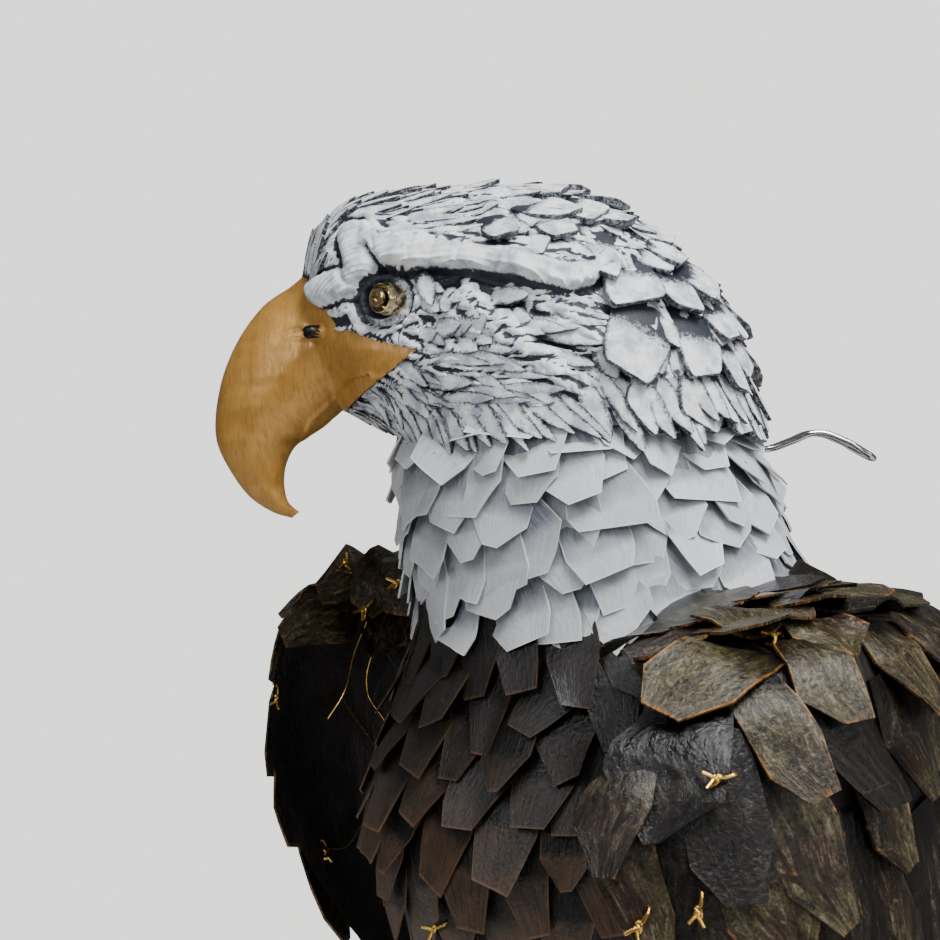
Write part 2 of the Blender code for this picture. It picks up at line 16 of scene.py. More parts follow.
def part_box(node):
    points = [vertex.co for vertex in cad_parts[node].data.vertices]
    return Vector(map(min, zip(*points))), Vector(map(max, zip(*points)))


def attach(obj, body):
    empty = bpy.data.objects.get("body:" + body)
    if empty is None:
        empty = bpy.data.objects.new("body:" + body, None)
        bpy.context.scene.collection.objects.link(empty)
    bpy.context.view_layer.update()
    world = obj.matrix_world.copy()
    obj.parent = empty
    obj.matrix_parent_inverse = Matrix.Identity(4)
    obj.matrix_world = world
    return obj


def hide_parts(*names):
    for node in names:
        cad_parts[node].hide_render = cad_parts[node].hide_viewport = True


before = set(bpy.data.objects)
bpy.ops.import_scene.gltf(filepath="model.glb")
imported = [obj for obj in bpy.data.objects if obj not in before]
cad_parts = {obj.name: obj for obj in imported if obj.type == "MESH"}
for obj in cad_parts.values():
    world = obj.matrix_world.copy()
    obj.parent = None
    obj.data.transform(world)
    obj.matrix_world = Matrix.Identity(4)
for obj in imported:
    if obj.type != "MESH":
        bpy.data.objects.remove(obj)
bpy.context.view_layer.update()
bpy.ops.object.select_all(action="DESELECT")

MM = 0.001
FIGURE_FORWARD = 30.0
PLINTH_HEIGHT = 45.0
PLINTH_RADIUS = 160.0
HEAD_TURN = math.radians(30)
FORWARD = np.array((-math.sin(HEAD_TURN), -math.cos(HEAD_TURN), 0.0))
ASIDE = np.array((math.cos(HEAD_TURN), -math.sin(HEAD_TURN), 0.0))
# The photograph's point of sight, 0.75 m from the head's middle plane, and its focal length and side in pixels.
LOOK = Vector(-ASIDE)
RIGHTWARD = Vector(-FORWARD)
EYE = Vector((-0.0224, -0.0687, 0.566)) - LOOK * 0.75
PIXELS = 1847
PICTURE = 940

# The neck and body, each row: height, middle (back from the neck's top), half width, half depth.
BODY = [
    (562, -4, 60, 64), (537, -1, 67, 72), (516, 2, 69, 73), (496, 7, 72, 75), (476, 13, 75, 77), (458, 20, 79, 82),
    (440, 26, 86, 91), (420, 29, 90, 101), (398, 30, 93, 109), (374, 31, 93, 110), (350, 33, 92, 104),
    (326, 37, 90, 94), (302, 41, 86, 83), (278, 46, 79, 76), (254, 52, 69, 68), (232, 57, 58, 60),
]
# The head's profile, each row: forward and height of its top line, half width.
HEAD = [
    (111, 602, 18), (105, 617, 26), (93, 628, 33), (73, 632, 39), (45, 635, 45), (14, 633, 50), (-16, 623, 55),
    (-42, 603, 59), (-58, 583, 62), (-66, 560, 64), (-70, 537, 65),
]
CHIN = (93, 545)
THROAT = (72, 537)
# The beak's profile, each row: top line, underside, half width.
BEAK = [
    (50, 602, 66, 528, 49.5), (86, 604, 82, 532, 37.5), (106, 603, 89, 538, 27), (118, 595, 95, 545, 19),
    (129, 587, 99, 543, 18), (138, 575, 105, 538, 16.5), (145, 559, 111, 534, 14.5), (148, 543, 116, 530, 12),
    (147, 531, 119, 524, 10), (141, 519, 120, 519, 8), (134, 510, 120, 514, 6), (125, 504, 118.5, 508, 4),
    (117, 501.5, 114, 504, 1.2),
]
# The left wing, each row: front edge, middle and rear edge of its outer face.
WING = [
    ((92, -58, 454), (88, 2, 472), (60, 74, 474)), ((138, -80, 447), (148, 2, 462), (84, 116, 456)),
    ((152, -94, 403), (166, -4, 414), (78, 142, 408)), ((152, -80, 350), (168, 8, 358), (66, 155, 350)),
    ((145, -46, 300), (161, 32, 302), (58, 163, 292)), ((135, 2, 245), (146, 62, 240), (56, 167, 228)),
    ((117, 54, 178), (122, 98, 172), (58, 166, 166)), ((92, 112, 108), (84, 134, 102), (66, 158, 104)),
]
TAIL = [(232, 104, 36), (190, 110, 40), (145, 118, 46), (95, 128, 52), (45, 138, 57)]
THIGH = [
    (292, 58, 42, 12), (266, 58, 38, 36), (232, 54, 33, 44), (196, 49, 29, 43), (160, 46, 26, 38),
    (124, 45, 23, 31), (92, 45, 21, 23), (66, 45, 20, 15),
]


# Places.

def figure(x, y, z):
    """Points of the figure in the world, from millimetres of the drawing."""
    return np.stack([x * MM, (y - FIGURE_FORWARD) * MM, (z + PLINTH_HEIGHT) * MM], axis=-1)


def head_place(forward, side, height):
    """Points of the turned head in the world."""
    x = side * ASIDE[0] + forward * FORWARD[0]
    y = side * ASIDE[1] + forward * FORWARD[1]
    return figure(x, y, height)


def along(rows, t):
    """The rows at t, from 0 to 1, on a smooth curve through them all, and straight on beyond both ends."""
    rows = np.asarray(rows, float)
    last = len(rows) - 1
    t = np.asarray(t, float)
    place = np.clip(t, 0, 1) * last
    i = np.minimum(place.astype(int), last - 1)
    s = (place - i)[..., None]
    p, q, r, w = rows[np.maximum(i - 1, 0)], rows[i], rows[i + 1], rows[np.minimum(i + 2, last)]
    value = q + 0.5 * s * (r - p + s * (2 * p - 5 * q + 4 * r - w + s * (3 * (q - r) + w - p)))
    over = (t * last - place)[..., None]
    return value + over * np.where(over > 0, rows[-1] - rows[-2], rows[1] - rows[0])


def near(value, spread):
    """1 at nothing, falling to nothing a few spreads away."""
    return np.exp(-((value / spread) ** 2))


def step_up(value, low, high):
    """0 below low and 1 above high, with a smooth change between."""
    share = np.clip((value - low) / (high - low), 0, 1)
    return share * share * (3 - 2 * share)


def line_distance(f, z, line):
    """How far flat points are from a line through several points, and how far along it the nearest place is."""
    best = np.full(np.shape(f), 1e9)
    share_there = np.zeros(np.shape(f))
    for n, ((ax, az), (bx, bz)) in enumerate(zip(line, line[1:])):
        run_f, run_z = bx - ax, bz - az
        share = np.clip(((f - ax) * run_f + (z - az) * run_z) / (run_f ** 2 + run_z ** 2), 0, 1)
        away = np.hypot(f - ax - share * run_f, z - az - share * run_z)
        nearer = away < best
        best = np.where(nearer, away, best)
        share_there = np.where(nearer, (n + share) / (len(line) - 1), share_there)
    return best, share_there


def body_surface(u, v):
    """The body's and neck's form, u once round from its left side and v down it."""
    height, middle, half_width, half_depth = np.moveaxis(along(BODY, v), -1, 0)
    angle = 2 * np.pi * u
    return figure(half_width * np.cos(angle), middle + half_depth * np.sin(angle), height)


def body_row(height):
    """The v of the body's surface at a height."""
    heights = [row[0] for row in BODY]
    return float(np.interp(-height, [-h for h in heights], np.linspace(0, 1, len(heights))))


def head_form(u, v):
    """The head's plain form in its own profile: forward, side and height."""
    forward, height, half_width = np.moveaxis(along(HEAD, v), -1, 0)
    low_f = CHIN[0] + (THROAT[0] - CHIN[0]) * v
    low_z = CHIN[1] + (THROAT[1] - CHIN[1]) * v
    swing = np.sin(2 * np.pi * u)
    level = np.cos(2 * np.pi * u)
    f = (forward + low_f) / 2 + (forward - low_f) / 2 * swing
    z = (height + low_z) / 2 + (height - low_z) / 2 * swing
    return f, half_width * np.sign(level) * np.abs(level) ** 0.92, z


def head_surface(u, v):
    return head_place(*head_form(u, v))


def beak_form(u, v):
    """The beak's form in the head's profile: forward, side and height."""
    top_f, top_z, low_f, low_z, half_width = np.moveaxis(along(BEAK, v), -1, 0)
    swing = np.sin(2 * np.pi * u)
    share = (1 + swing) / 2
    side = half_width * np.cos(2 * np.pi * u) * (1 - 0.18 * np.maximum(swing, 0))
    return low_f + (top_f - low_f) * share, side, low_z + (top_z - low_z) * share


def wing_surface(drawn, back, rise, mirror):
    """A wing's outer face: u from its front edge to its rear edge, v from the shoulder to the tip.

    drawn says how far back each row's front edge is drawn, as the two wings are held differently.
    """

    def surface(u, v):
        row = along([front + middle + rear for front, middle, rear in WING], v)
        front = row[..., 0:3].copy()
        front[..., 1] += np.interp(v, np.linspace(0, 1, len(drawn)), drawn)
        middle, rear = row[..., 3:6], row[..., 6:9]
        u = np.asarray(u, float)[..., None]
        place = 2 * (u - 0.5) * (u - 1) * front - 4 * u * (u - 1) * middle + 2 * u * (u - 0.5) * rear
        x = -place[..., 0] if mirror else place[..., 0]
        return figure(x, place[..., 1] + back, place[..., 2] + rise)

    return surface


def tail_surface(u, v):
    """The tail's upper face, hollow across."""
    height, middle, half_width = np.moveaxis(along(TAIL, v), -1, 0)
    across = 1 - 2 * u
    return figure(half_width * across, middle + 9 * (1 - across ** 2), height)


def thigh_surface(side):
    """A thigh's form, for the left side at 1 and the right side at -1."""

    def surface(u, v):
        height, aside, back, radius = np.moveaxis(along(THIGH, v), -1, 0)
        angle = 2 * np.pi * u
        return figure(side * (aside + radius * np.cos(angle)), back + radius * np.sin(angle), height)

    return surface


def tangents(surface, u, v):
    """The surface's point and its slopes along u and v."""
    step = 1e-3
    along_u = (surface(u + step, v) - surface(u - step, v)) / (2 * step)
    along_v = (surface(u, v + step) - surface(u, v - step)) / (2 * step)
    return surface(u, v), along_u, along_v


def unit(vectors):
    """The vectors at a length of one."""
    return vectors / np.maximum(np.linalg.norm(vectors, axis=-1, keepdims=True), 1e-12)


# Materials.

def colour(code):
    """An sRGB hex colour as the shader wants it."""
    parts = [int(code[i:i + 2], 16) / 255 for i in (1, 3, 5)]
    return (*(p / 12.92 if p <= 0.04045 else ((p + 0.055) / 1.055) ** 2.4 for p in parts), 1.0)


def add(tree, kind, *values, give=None, **settings):
    """Adds a node with its settings and links, and gives the output of that name, or else its first one.

    The values go to the sockets in use, in order. Each is plain, another node's output, or None for the default.
    """
    made = tree.nodes.new("ShaderNode" + kind)
    for name, value in settings.items():
        setattr(made, name, value)
    for socket, value in zip([one for one in made.inputs if one.enabled], values):
        if isinstance(value, bpy.types.NodeSocket):
            tree.links.new(value, socket)
        elif value is not None:
            socket.default_value = value
    return made.outputs[give] if give else next(one for one in made.outputs if one.enabled)


def per_mm(size):
    """A pattern's scale in metres, for features that are size millimetres across."""
    return 1 / (MM * size)


def finish(name, **values):
    """A new material: its tree and its shader, with plain values on the shader's own sockets."""
    material = bpy.data.materials.new(name)
    material.use_nodes = True
    tree = material.node_tree
    shader = tree.nodes["Principled BSDF"]
    for socket, value in values.items():
        shader.inputs[socket.replace("_", " ")].default_value = value
    return material, tree, shader


def sheet_edge(tree, width_share):
    """1 along the cut edges of a plate and 0 inside, from the plate's own map."""
    uv = add(tree, "UVMap", uv_map="UVMap")
    split = add(tree, "SeparateXYZ", uv).node.outputs
    across = add(tree, "Math", add(tree, "Math", split[0], 0.5, operation="SUBTRACT"), operation="ABSOLUTE")
    side = add(tree, "MapRange", across, 0.5 - width_share, 0.5, interpolation_type="SMOOTHSTEP")
    tip = add(tree, "MapRange", split[1], 1 - width_share, 1.0, interpolation_type="SMOOTHSTEP")
    return add(tree, "Math", side, tip, operation="MAXIMUM"), split[0], split[1]


def painted_clay(name, cut):
    """Air-dry clay under thick white acrylic, drybrushed: white on what stands up, blue-black left in the hollows.

    A cut slab of clay also gets painted shade at its root, where it runs under its neighbours, and a little along
    its sides.
    """
    material, tree, shader = finish(name, Roughness=0.62, IOR=1.47)
    where = add(tree, "TexCoord", give="Object")
    relief_and_painted_shading = add(tree, "Attribute", attribute_name="relief_and_painted_shading", give="Fac")
    # Paint misses the hollows in patches about 2 mm wide, and is broken by a grain of about half a millimetre.
    patches = add(tree, "TexNoise", where, per_mm(2.2), 5, 0.7)
    grain = add(tree, "TexNoise", where, per_mm(0.7), 3, 0.6)
    broken = add(
        tree, "Math", add(tree, "Math", patches, 0.5, operation="MULTIPLY"),
        add(tree, "Math", grain, 0.3, operation="MULTIPLY"), operation="ADD",
    )
    if cut:
        # Painted shade: darker towards the slab's root, where it runs under its neighbours, and a little along its
        # sides.
        edge, _, down = sheet_edge(tree, 0.09)
        root = add(tree, "MapRange", down, 0.0, 0.55, 0.55, 0.0, interpolation_type="SMOOTHSTEP")
        relief_and_painted_shading = add(
            tree, "Math", relief_and_painted_shading,
            add(tree, "Math", root, add(tree, "Math", edge, 0.22, operation="MULTIPLY"), operation="MAXIMUM"),
            operation="SUBTRACT",
        )
    cover = add(
        tree, "MapRange", add(tree, "Math", relief_and_painted_shading, broken, operation="ADD"), 0.79, 0.99,
        interpolation_type="SMOOTHSTEP",
    )
    thin = add(
        tree, "MapRange",
        add(
            tree, "Math", add(tree, "TexNoise", where, per_mm(7.0), 4, 0.55),
            add(tree, "Math", patches, 0.5, operation="MULTIPLY"), operation="ADD",
        ),
        0.6, 0.95, interpolation_type="SMOOTHSTEP",
    )
    white = add(tree, "Mix", thin, colour("#E2E3E5"), colour("#A0A7B3"), data_type="RGBA")
    dark = add(tree, "Mix", grain, colour("#0C0F18"), colour("#262C3B"), data_type="RGBA")
    tree.links.new(add(tree, "Mix", cover, dark, white, data_type="RGBA"), shader.inputs["Base Color"])
    tree.links.new(
        add(tree, "MapRange", cover, 0, 1, 0.5, 0.66, interpolation_type="SMOOTHSTEP"), shader.inputs["Roughness"],
    )
    strokes = add(tree, "Math", add(tree, "Math", patches, 0.35, operation="MULTIPLY"), grain, operation="ADD")
    tree.links.new(add(tree, "Bump", 0.6, 0.5 * MM, None, strokes), shader.inputs["Normal"])
    return material


def painted_sheet():
    """Stiff cut sheet under brushed white acrylic: brush lines, painted shade in grey-blue at each plate's root,
    and a painted highlight along its cut edges.
    """
    material, tree, shader = finish("brushed_white_acrylic_on_sheet", Roughness=0.5, IOR=1.47)
    edge, across, down = sheet_edge(tree, 0.025)
    tone = add(tree, "Attribute", attribute_name="tone", give="Fac")
    where = add(tree, "TexCoord", give="Object")
    # Brush hairs leave lines about 0.6 mm apart; each plate's own shift keeps the lines from running on.
    shifted = add(tree, "CombineXYZ", across, down, add(tree, "Math", tone, 37.0, operation="MULTIPLY"))
    hairs = add(tree, "TexNoise", add(tree, "Mapping", shifted, None, None, (38, 3.2, 1)), 1, 4, 0.6)
    cloud = add(tree, "TexNoise", where, per_mm(11.0), 4, 0.6)
    specks = add(
        tree, "MapRange", add(tree, "TexNoise", where, per_mm(1.6), 5, 0.75), 0.62, 0.72,
        interpolation_type="SMOOTHSTEP",
    )
    # Painted shade: each plate goes grey-blue towards its root, where it runs under the row above.
    root = add(
        tree, "MapRange",
        add(tree, "Math", down, add(tree, "Math", cloud, 0.5, operation="MULTIPLY"), operation="ADD"), 0.38, 0.86,
        interpolation_type="SMOOTHSTEP",
    )
    body = add(tree, "Mix", root, colour("#444B5C"), colour("#BCBFC3"), data_type="RGBA")
    body = add(
        tree, "Mix",
        add(
            tree, "Math", add(tree, "MapRange", hairs, 0.4, 0.7, interpolation_type="SMOOTHSTEP"), 0.6,
            operation="MULTIPLY",
        ),
        body, colour("#8B9098"), data_type="RGBA",
    )
    body = add(
        tree, "Mix", add(tree, "Math", tone, 0.3, operation="MULTIPLY"), body, colour("#CDCFD0"), data_type="RGBA",
    )
    body = add(
        tree, "Mix", add(tree, "Math", specks, 0.6, operation="MULTIPLY"), body, colour("#343A49"),
        data_type="RGBA",
    )
    # Painted highlight along the cut edges.
    body = add(
        tree, "Mix", add(tree, "Math", edge, 0.7, operation="MULTIPLY"), body, colour("#DEDFDF"), data_type="RGBA",
    )
    tree.links.new(body, shader.inputs["Base Color"])
    tree.links.new(
        add(
            tree, "Bump", 0.4, 0.35 * MM, None,
            add(tree, "Math", hairs, add(tree, "Math", cloud, 0.6, operation="MULTIPLY"), operation="ADD"),
        ),
        shader.inputs["Normal"],
    )
    return material


def dark_hide():
    """Rawhide stained black-brown and waxed: blackest at the neck, with grey specks painted in as glints, warmer
    and matt lower down, and painted shade at each plate's root.
    """
    material, tree, shader = finish("waxed_black_brown_hide", Roughness=0.42, IOR=1.42)
    edge, across, down = sheet_edge(tree, 0.028)
    tone = add(tree, "Attribute", attribute_name="tone", give="Fac")
    where = add(tree, "TexCoord", give="Object")
    height = add(tree, "SeparateXYZ", where, give="Z")
    # The stain is blackest within about 60 mm of the white neck.
    low = add(tree, "MapRange", height, 0.475, 0.385, interpolation_type="SMOOTHSTEP")
    shifted = add(tree, "CombineXYZ", across, down, add(tree, "Math", tone, 41.0, operation="MULTIPLY"))
    fibres = add(tree, "TexNoise", add(tree, "Mapping", shifted, None, None, (22, 4.5, 1)), 1, 6, 0.68)
    grain = add(tree, "TexNoise", where, per_mm(1.1), 4, 0.7)
    cloud = add(tree, "TexNoise", where, per_mm(14.0), 4, 0.6)
    black = add(tree, "Mix", fibres, colour("#0C0B0C"), colour("#262120"), data_type="RGBA")
    brown = add(
        tree, "Mix", add(tree, "MapRange", fibres, 0.3, 0.7, interpolation_type="SMOOTHSTEP"), colour("#1E1511"),
        colour("#56402F"), data_type="RGBA",
    )
    brown = add(
        tree, "Mix", add(tree, "Math", tone, 0.5, operation="MULTIPLY"), brown, colour("#674C38"), data_type="RGBA",
    )
    body = add(
        tree, "Mix",
        add(
            tree, "Math", low, add(tree, "MapRange", cloud, 0.2, 0.6, interpolation_type="SMOOTHSTEP"),
            operation="MULTIPLY",
        ),
        black, brown, data_type="RGBA",
    )
    mould = add(
        tree, "Math", add(tree, "MapRange", cloud, 0.58, 0.7, interpolation_type="SMOOTHSTEP"), 0.4,
        operation="MULTIPLY",
    )
    body = add(tree, "Mix", mould, body, colour("#3A361F"), data_type="RGBA")
    # Grey specks painted in as glints.
    painted_glints = add(tree, "MapRange", grain, 0.66, 0.74, interpolation_type="SMOOTHSTEP")
    body = add(
        tree, "Mix", add(tree, "Math", painted_glints, 0.5, operation="MULTIPLY"), body, colour("#6E6967"),
        data_type="RGBA",
    )
    # Painted shade: each plate goes all but black where it runs under its neighbours.
    painted_root_shade = add(
        tree, "MapRange",
        add(tree, "Math", down, add(tree, "Math", cloud, 0.3, operation="MULTIPLY"), operation="ADD"), 0.82, 0.5,
        interpolation_type="SMOOTHSTEP",
    )
    body = add(
        tree, "Mix", add(tree, "Math", painted_root_shade, 0.93, operation="MULTIPLY"), body, colour("#040404"), data_type="RGBA",
    )
    body = add(
        tree, "Mix",
        add(
            tree, "Math", edge, add(tree, "MapRange", low, 0, 1, 0.2, 0.55, interpolation_type="SMOOTHSTEP"),
            operation="MULTIPLY",
        ),
        body, colour("#7A5C40"), data_type="RGBA",
    )
    tree.links.new(body, shader.inputs["Base Color"])
    rough = add(
        tree, "Math", add(tree, "MapRange", fibres, 0.3, 0.7, 0.17, 0.38, interpolation_type="SMOOTHSTEP"),
        add(tree, "Math", low, 0.1, operation="MULTIPLY"), operation="ADD",
    )
    tree.links.new(rough, shader.inputs["Roughness"])
    leather = add(tree, "TexNoise", where, per_mm(1.6), 2, 0.5)
    tree.links.new(
        add(tree, "Bump", 0.55, 0.5 * MM, None, add(tree, "Math", fibres, leather, operation="ADD")),
        shader.inputs["Normal"],
    )
    return material


def olive_hide():
    """Thick rawhide, mottled olive and brown under wax, with raw orange-tan cut edges, grey patches that are partly
    wax bloom and partly painted sheen, and painted shade at each plate's root.
    """
    material, tree, shader = finish("waxed_olive_brown_hide", Roughness=0.34, IOR=1.33)
    edge, across, down = sheet_edge(tree, 0.04)
    tone = add(tree, "Attribute", attribute_name="tone", give="Fac")
    where = add(tree, "TexCoord", give="Object")
    shifted = add(tree, "CombineXYZ", across, down, add(tree, "Math", tone, 29.0, operation="MULTIPLY"))
    mottle = add(tree, "TexNoise", add(tree, "Mapping", shifted, None, None, (9, 6, 1)), 1, 7, 0.72, None, 0.6)
    grain = add(tree, "TexNoise", where, per_mm(1.2), 5, 0.75)
    cloud = add(tree, "TexNoise", where, per_mm(22.0), 3, 0.6)
    base = add(
        tree, "Mix", add(tree, "MapRange", mottle, 0.36, 0.66, interpolation_type="SMOOTHSTEP"), colour("#0F0B09"),
        colour("#38291D"), data_type="RGBA",
    )
    streaks = add(
        tree, "Math", add(tree, "Math", mottle, 0.6, operation="MULTIPLY"),
        add(tree, "Math", grain, 0.4, operation="MULTIPLY"), operation="ADD",
    )
    olive = add(
        tree, "Mix", add(tree, "MapRange", streaks, 0.38, 0.62, interpolation_type="SMOOTHSTEP"), colour("#15120C"),
        colour("#504831"), data_type="RGBA",
    )
    body = add(
        tree, "Mix",
        add(
            tree, "MapRange",
            add(tree, "Math", cloud, add(tree, "Math", tone, 0.35, operation="MULTIPLY"), operation="ADD"), 0.55,
            0.8, interpolation_type="SMOOTHSTEP",
        ),
        base, olive, data_type="RGBA",
    )
    # Grey patches, partly wax bloom and partly painted sheen.
    wax_bloom_and_sheen = add(
        tree, "Math",
        add(
            tree, "MapRange",
            add(tree, "Math", mottle, add(tree, "Math", grain, 0.4, operation="MULTIPLY"), operation="ADD"), 0.74,
            0.92, interpolation_type="SMOOTHSTEP",
        ),
        0.6, operation="MULTIPLY",
    )
    body = add(tree, "Mix", wax_bloom_and_sheen, body, colour("#7A7566"), data_type="RGBA")
    dark = add(
        tree, "Math", add(tree, "MapRange", tone, 0.45, 0.1, interpolation_type="SMOOTHSTEP"), 0.88,
        operation="MULTIPLY",
    )
    body = add(tree, "Mix", dark, body, colour("#080707"), data_type="RGBA")
    # Painted shade: each plate goes black towards its root, where it runs under its neighbours.
    painted_root_shade = add(
        tree, "MapRange",
        add(tree, "Math", down, add(tree, "Math", cloud, 0.3, operation="MULTIPLY"), operation="ADD"), 0.5, 0.22,
        interpolation_type="SMOOTHSTEP",
    )
    body = add(
        tree, "Mix", add(tree, "Math", painted_root_shade, 0.93, operation="MULTIPLY"), body, colour("#040303"), data_type="RGBA",
    )
    worn = add(
        tree, "MapRange",
        add(tree, "Math", mottle, add(tree, "Math", tone, 0.2, operation="MULTIPLY"), operation="ADD"), 0.6, 0.74,
        0.0, 0.85, interpolation_type="SMOOTHSTEP",
    )
    raw = add(
        tree, "Math", add(tree, "Math", edge, worn, operation="MULTIPLY"),
        add(tree, "MapRange", tone, 0.1, 0.3, interpolation_type="SMOOTHSTEP"), operation="MULTIPLY",
    )
    body = add(tree, "Mix", raw, body, colour("#8E5C22"), data_type="RGBA")
    tree.links.new(body, shader.inputs["Base Color"])
    tree.links.new(
        add(
            tree, "MapRange", add(tree, "Math", mottle, cloud, operation="ADD"), 0.7, 1.3, 0.15, 0.27,
            interpolation_type="SMOOTHSTEP",
        ),
        shader.inputs["Roughness"],
    )
    # The hide's own grain, about 1.8 mm, breaks up its shine.
    leather = add(tree, "TexNoise", where, per_mm(1.8), 2, 0.5)
    tree.links.new(
        add(
            tree, "Bump", 0.6, 0.6 * MM, None,
            add(tree, "Math", leather, add(tree, "Math", mottle, 1.4, operation="MULTIPLY"), operation="ADD"),
        ),
        shader.inputs["Normal"],
    )
    return material


def black_lining():
    """The body under the plates: cloth and glue painted black, rough and creased."""
    material, tree, shader = finish("black_painted_lining", Roughness=0.5, IOR=1.5)
    where = add(tree, "TexCoord", give="Object")
    folds = add(
        tree, "TexNoise", add(tree, "Mapping", where, None, None, (1, 1, 1 / 2.2)), per_mm(9.0), 5, 0.6, None, 0.8,
    )
    grain = add(tree, "TexNoise", where, per_mm(0.9), 3, 0.55)
    tree.links.new(
        add(tree, "Mix", folds, colour("#0B0A0B"), colour("#26211F"), data_type="RGBA"),
        shader.inputs["Base Color"],
    )
    tree.links.new(
        add(tree, "MapRange", folds, 0.3, 0.7, 0.34, 0.62, interpolation_type="SMOOTHSTEP"),
        shader.inputs["Roughness"],
    )
    tree.links.new(
        add(
            tree, "Bump", 0.8, 1.6 * MM, None,
            add(tree, "Math", folds, add(tree, "Math", grain, 0.15, operation="MULTIPLY"), operation="ADD"),
        ),
        shader.inputs["Normal"],
    )
    return material


def ochre_paint(name, light, dark, stain):
    """Satin gold ochre paint over smoothed clay: brushed along, with brown glaze left in the hollows and painted
    shadow, near black, in the deepest of them.
    """
    material, tree, shader = finish(name, Roughness=0.36, IOR=1.5, Metallic=0.25)
    where = add(tree, "TexCoord", give="Object")
    hollow = add(tree, "Attribute", attribute_name="relief_and_painted_shading", give="Fac")
    # The bird's beak points along the turned head, so the strokes are drawn out the same way.
    turned = add(tree, "Mapping", where, None, (0, 0, -HEAD_TURN))
    strokes = add(
        tree, "TexNoise", add(tree, "Mapping", turned, None, None, (1, 1 / 3.5, 1 / 5)), per_mm(1.1), 5, 0.62,
    )
    cloud = add(tree, "TexNoise", where, per_mm(15.0), 4, 0.58, None, 0.5)
    grain = add(tree, "TexNoise", where, per_mm(0.8), 3, 0.6)
    body = add(
        tree, "Mix", add(tree, "MapRange", cloud, 0.3, 0.7, interpolation_type="SMOOTHSTEP"), colour(dark),
        colour(light), data_type="RGBA",
    )
    body = add(
        tree, "Mix",
        add(
            tree, "Math", add(tree, "MapRange", strokes, 0.42, 0.7, interpolation_type="SMOOTHSTEP"), 0.4,
            operation="MULTIPLY",
        ),
        body, colour(stain), data_type="RGBA",
    )
    body = add(
        tree, "Mix", add(tree, "MapRange", hollow, 0.45, 0.05, interpolation_type="SMOOTHSTEP"), body,
        colour(stain), data_type="RGBA",
    )
    # Painted shadow: the nostril hole and the deepest creases go near black.
    body = add(
        tree, "Mix", add(tree, "MapRange", hollow, 0.1, 0.02, interpolation_type="SMOOTHSTEP"), body,
        colour("#0E0905"), data_type="RGBA",
    )
    tree.links.new(body, shader.inputs["Base Color"])
    tree.links.new(
        add(tree, "MapRange", strokes, 0.3, 0.75, 0.28, 0.46, interpolation_type="SMOOTHSTEP"),
        shader.inputs["Roughness"],
    )
    tree.links.new(
        add(
            tree, "Bump", 0.3, 0.4 * MM, None,
            add(
                tree, "Math", add(tree, "Math", strokes, 0.7, operation="MULTIPLY"),
                add(tree, "Math", grain, 0.4, operation="MULTIPLY"), operation="ADD",
            ),
        ),
        shader.inputs["Normal"],
    )
    return material


def turned_brass():
    """Brass turned on a lathe and polished: a fine grain and a little brown tarnish."""
    material, tree, shader = finish("turned_polished_brass", Metallic=1.0, Roughness=0.16)
    where = add(tree, "TexCoord", give="Object")
    tarnish = add(tree, "TexNoise", where, per_mm(1.6), 5, 0.7)
    tree.links.new(
        add(
            tree, "Mix", add(tree, "MapRange", tarnish, 0.45, 0.8, interpolation_type="SMOOTHSTEP"),
            colour("#CDBD96"), colour("#7D6A48"), data_type="RGBA",
        ),
        shader.inputs["Base Color"],
    )
    tree.links.new(
        add(tree, "MapRange", tarnish, 0.3, 0.7, 0.1, 0.26, interpolation_type="SMOOTHSTEP"),
        shader.inputs["Roughness"],
    )
    tree.links.new(
        add(tree, "Bump", 0.12, 0.08 * MM, None, add(tree, "TexNoise", where, per_mm(0.35), 2, 0.55)),
        shader.inputs["Normal"],
    )
    return material


def brass_wire():
    """Drawn brass wire, bright along its bends."""
    material, tree, shader = finish("drawn_brass_wire", Metallic=1.0, Roughness=0.22)
    where = add(tree, "TexCoord", give="Object")
    dull = add(tree, "TexNoise", where, per_mm(2.5), 4, 0.7)
    tree.links.new(
        add(
            tree, "Mix", add(tree, "MapRange", dull, 0.4, 0.75, interpolation_type="SMOOTHSTEP"), colour("#D9B05C"),
            colour("#8E6A2C"), data_type="RGBA",
        ),
        shader.inputs["Base Color"],
    )
    tree.links.new(
        add(tree, "MapRange", dull, 0.3, 0.7, 0.16, 0.34, interpolation_type="SMOOTHSTEP"),
        shader.inputs["Roughness"],
    )
    return material


def polished_steel():
    """Bent steel wire, polished, with faint draw lines."""
    material, tree, shader = finish("polished_steel_wire", Metallic=1.0, Roughness=0.1)
    where = add(tree, "TexCoord", give="Object")
    lines = add(tree, "TexNoise", add(tree, "Mapping", where, None, None, (1 / 6, 1 / 6, 1)), per_mm(0.8), 3, 0.55)
    tree.links.new(
        add(tree, "Mix", lines, colour("#B9BBBD"), colour("#DDDEDF"), data_type="RGBA"),
        shader.inputs["Base Color"],
    )
    tree.links.new(
        add(tree, "MapRange", lines, 0.3, 0.7, 0.06, 0.18, interpolation_type="SMOOTHSTEP"),
        shader.inputs["Roughness"],
    )
    return material


